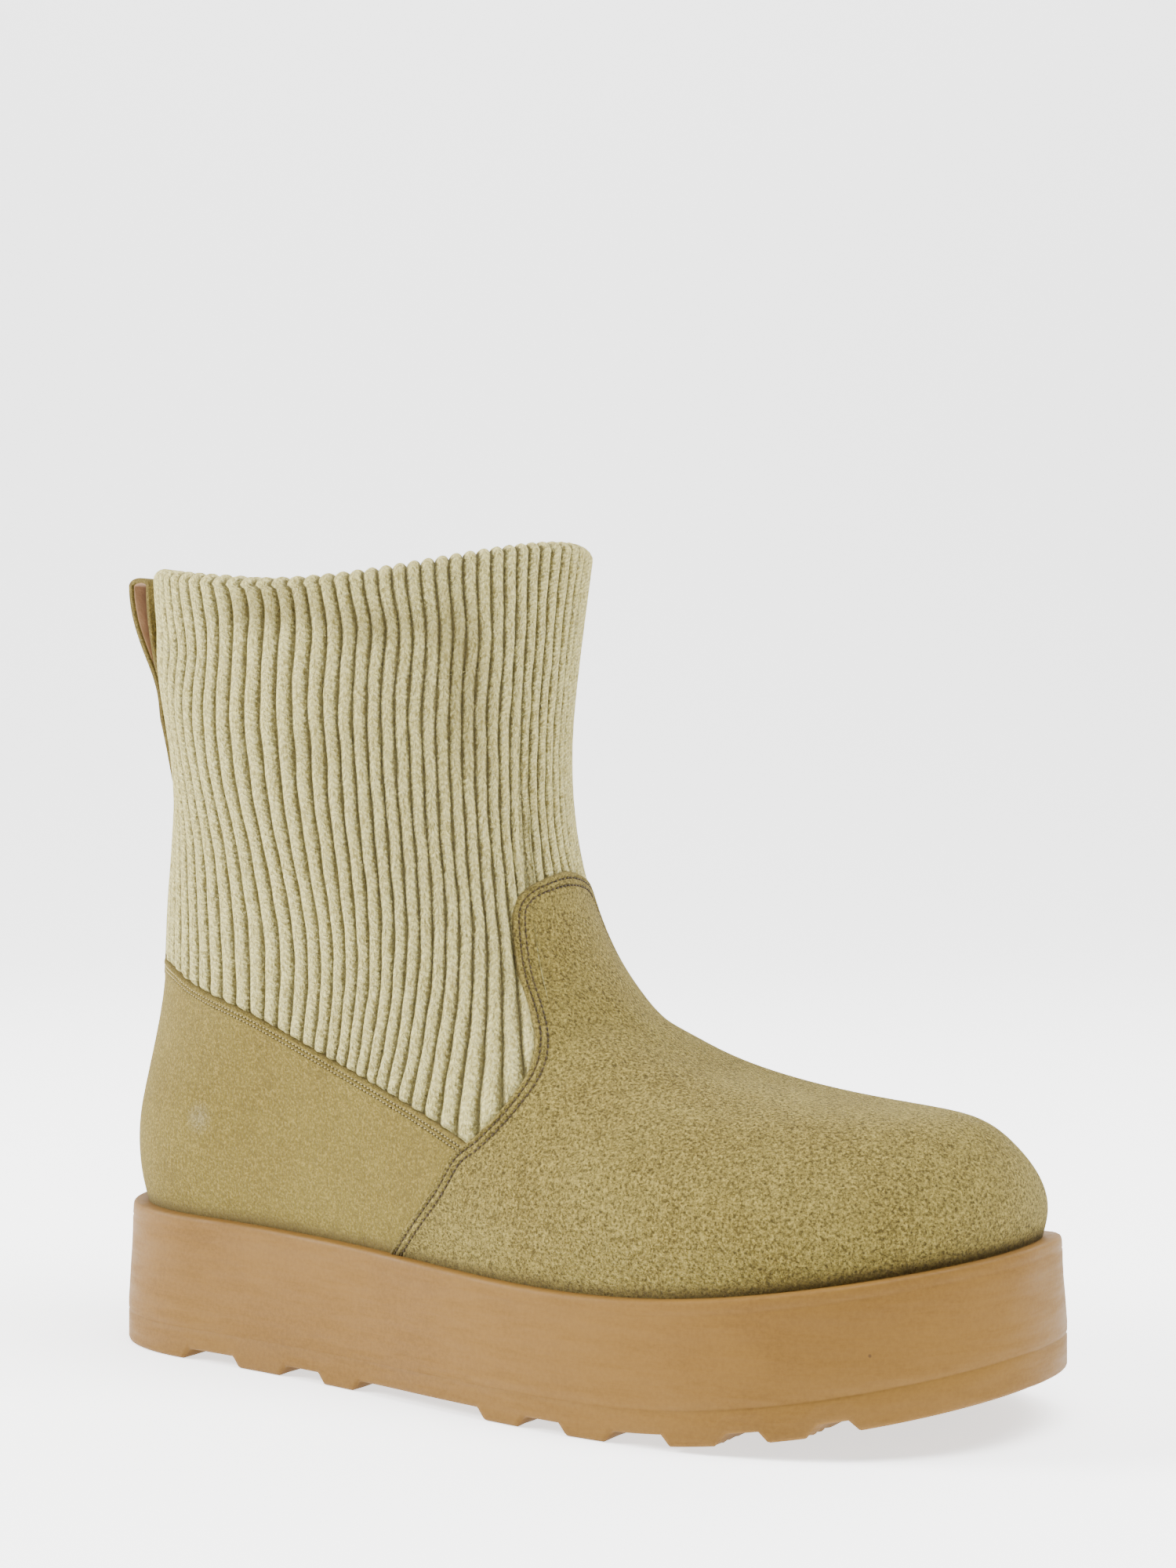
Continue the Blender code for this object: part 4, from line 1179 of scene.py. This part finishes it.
def ribbon(name, path, low, high, half_width, round_off, material, slot, *nodes):
    """A band along a side-view path, from low to high on its left, with rounded sides."""
    along = np.gradient(path, axis=0)
    normal = np.stack([-along[:, 1], along[:, 0]], 1)
    normal /= np.linalg.norm(normal, axis=1)[:, None]
    section = []
    for y_sign, h_sign in ((-1, -1), (1, -1), (1, 1), (-1, 1)):
        for bend in np.linspace(0, math.pi / 2, 4):
            turn = {(-1, -1): math.pi, (1, -1): 1.5 * math.pi, (1, 1): 0.0, (-1, 1): math.pi / 2}[
                (y_sign, h_sign)] + bend
            centre_h = (low + high) / 2 + h_sign * ((high - low) / 2 - round_off)
            section.append((y_sign * (half_width - round_off) + round_off * math.cos(turn),
                            centre_h + round_off * math.sin(turn)))
    rows = []
    for spot, side in zip(path, normal):
        rows.append([(spot[0] + side[0] * h, y, spot[1] + side[1] * h) for y, h in section])
    count = len(section)
    points = np.array(rows).reshape(-1, 3)
    faces = quads(len(rows), count, cyclic=True)
    faces += [tuple(range(count)), tuple(reversed(range((len(rows) - 1) * count, len(rows) * count)))]
    # The band stands clear of the sole; its distance in from its sides carries the suede's painted shade
    # along its edges and its rows of stitches
    above = np.full(len(points), 20.0)
    inset = half_width * 1000 - np.abs(points[:, 1]) * 1000
    thing = mesh_object(name, points, faces, material, extra={"above": above, "inset": inset})
    turn_outward(thing)
    return finish_piece(thing, slot, *nodes)


path = loop_path()
ribbon("loop_band", path, -LOOP_BAND / 2, LOOP_BAND * 0.40, STRAP_WIDTH / 2, 0.0004,
       STRAP_SUEDE, "suede", "pull_loop")
upper_path = path[path[:, 1] > LOOP_ROOT_HEIGHT + 0.012]
ribbon("loop_facing", upper_path, LOOP_BAND * 0.10, LOOP_BAND / 2 + 0.0001, STRAP_WIDTH / 2 - 0.0009, 0.0003,
       LOOP_LINING, "suede")

# Carried-over insole

for node_name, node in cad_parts.items():
    if node_name == "insole":
        node.data.materials.clear()
        node.data.materials.append(LINING)

# Floor, light and camera


def backdrop():
    """A pale floor that curves up far behind the boot."""
    line = [(-5.0, 0.0), (1.4, 0.0)]
    for bend in np.linspace(0, math.pi / 2, 18)[1:]:
        line.append((1.4 + 1.2 * math.sin(bend), 1.2 * (1 - math.cos(bend))))
    line.append((2.6, 5.0))
    points, faces = [], []
    for v, z in line:
        points += [(-6.0, v, z), (6.0, v, z)]
    for k in range(len(line) - 1):
        faces.append((2 * k, 2 * k + 1, 2 * k + 3, 2 * k + 2))
    mesh = bpy.data.meshes.new("backdrop")
    mesh.from_pydata(points, [], faces)
    mesh.shade_smooth()
    paint = Paint("pale_floor")
    mesh.materials.append(paint.done(tint(250, 250, 250), 0.85, specular=0.1))
    paint.shader.inputs["Emission Color"].default_value = (1.0, 1.0, 1.0, 1.0)
    paint.shader.inputs["Emission Strength"].default_value = 1.5
    thing = bpy.data.objects.new("backdrop", mesh)
    bpy.context.scene.collection.objects.link(thing)
    thing.rotation_euler = (0, 0, CAMERA_TURN)


CAMERA_SPOT = np.array([0.4161, -0.6240, 0.1777]) + SHIFT
CAMERA_TURN = math.radians(32.91)
CAMERA_DIP = math.radians(0.75)
CAMERA_LENS = 60.92


def lamp(name, spot, aim, size, power):
    """A round soft light at a spot, turned to what it aims at."""
    light = bpy.data.lights.new(name, "AREA")
    light.shape = "DISK"
    light.size = size
    light.energy = power
    thing = bpy.data.objects.new(name, light)
    bpy.context.scene.collection.objects.link(thing)
    thing.location = spot
    thing.rotation_euler = (Vector(aim) - Vector(spot)).to_track_quat("-Z", "Y").to_euler()


backdrop()
lamp("key", (-1.45, -0.85, 0.95), (0, 0, 0.10), 0.8, 88)
lamp("fill", (0.90, 0.30, 1.50), (0, 0, 0.12), 0.8, 28)
lamp("over", (0.35, -0.15, 1.6), (0, 0, 0.1), 1.0, 40)
lamp("behind", (0.4, 1.3, 1.2), (0, 0, 0.12), 1.2, 10)
world = bpy.context.scene.world or bpy.data.worlds.new("studio")
bpy.context.scene.world = world
world.use_nodes = True
world.node_tree.nodes["Background"].inputs["Color"].default_value = (1.0, 1.0, 1.0, 1.0)
world.node_tree.nodes["Background"].inputs["Strength"].default_value = 0.30

camera = bpy.data.objects.new("camera", bpy.data.cameras.new("camera"))
bpy.context.scene.collection.objects.link(camera)
camera.location = CAMERA_SPOT
camera.rotation_euler = (math.pi / 2 - CAMERA_DIP, 0, CAMERA_TURN)
camera.data.lens = CAMERA_LENS
camera.data.sensor_width = 36
camera.data.clip_start = 0.02
bpy.context.scene.camera = camera
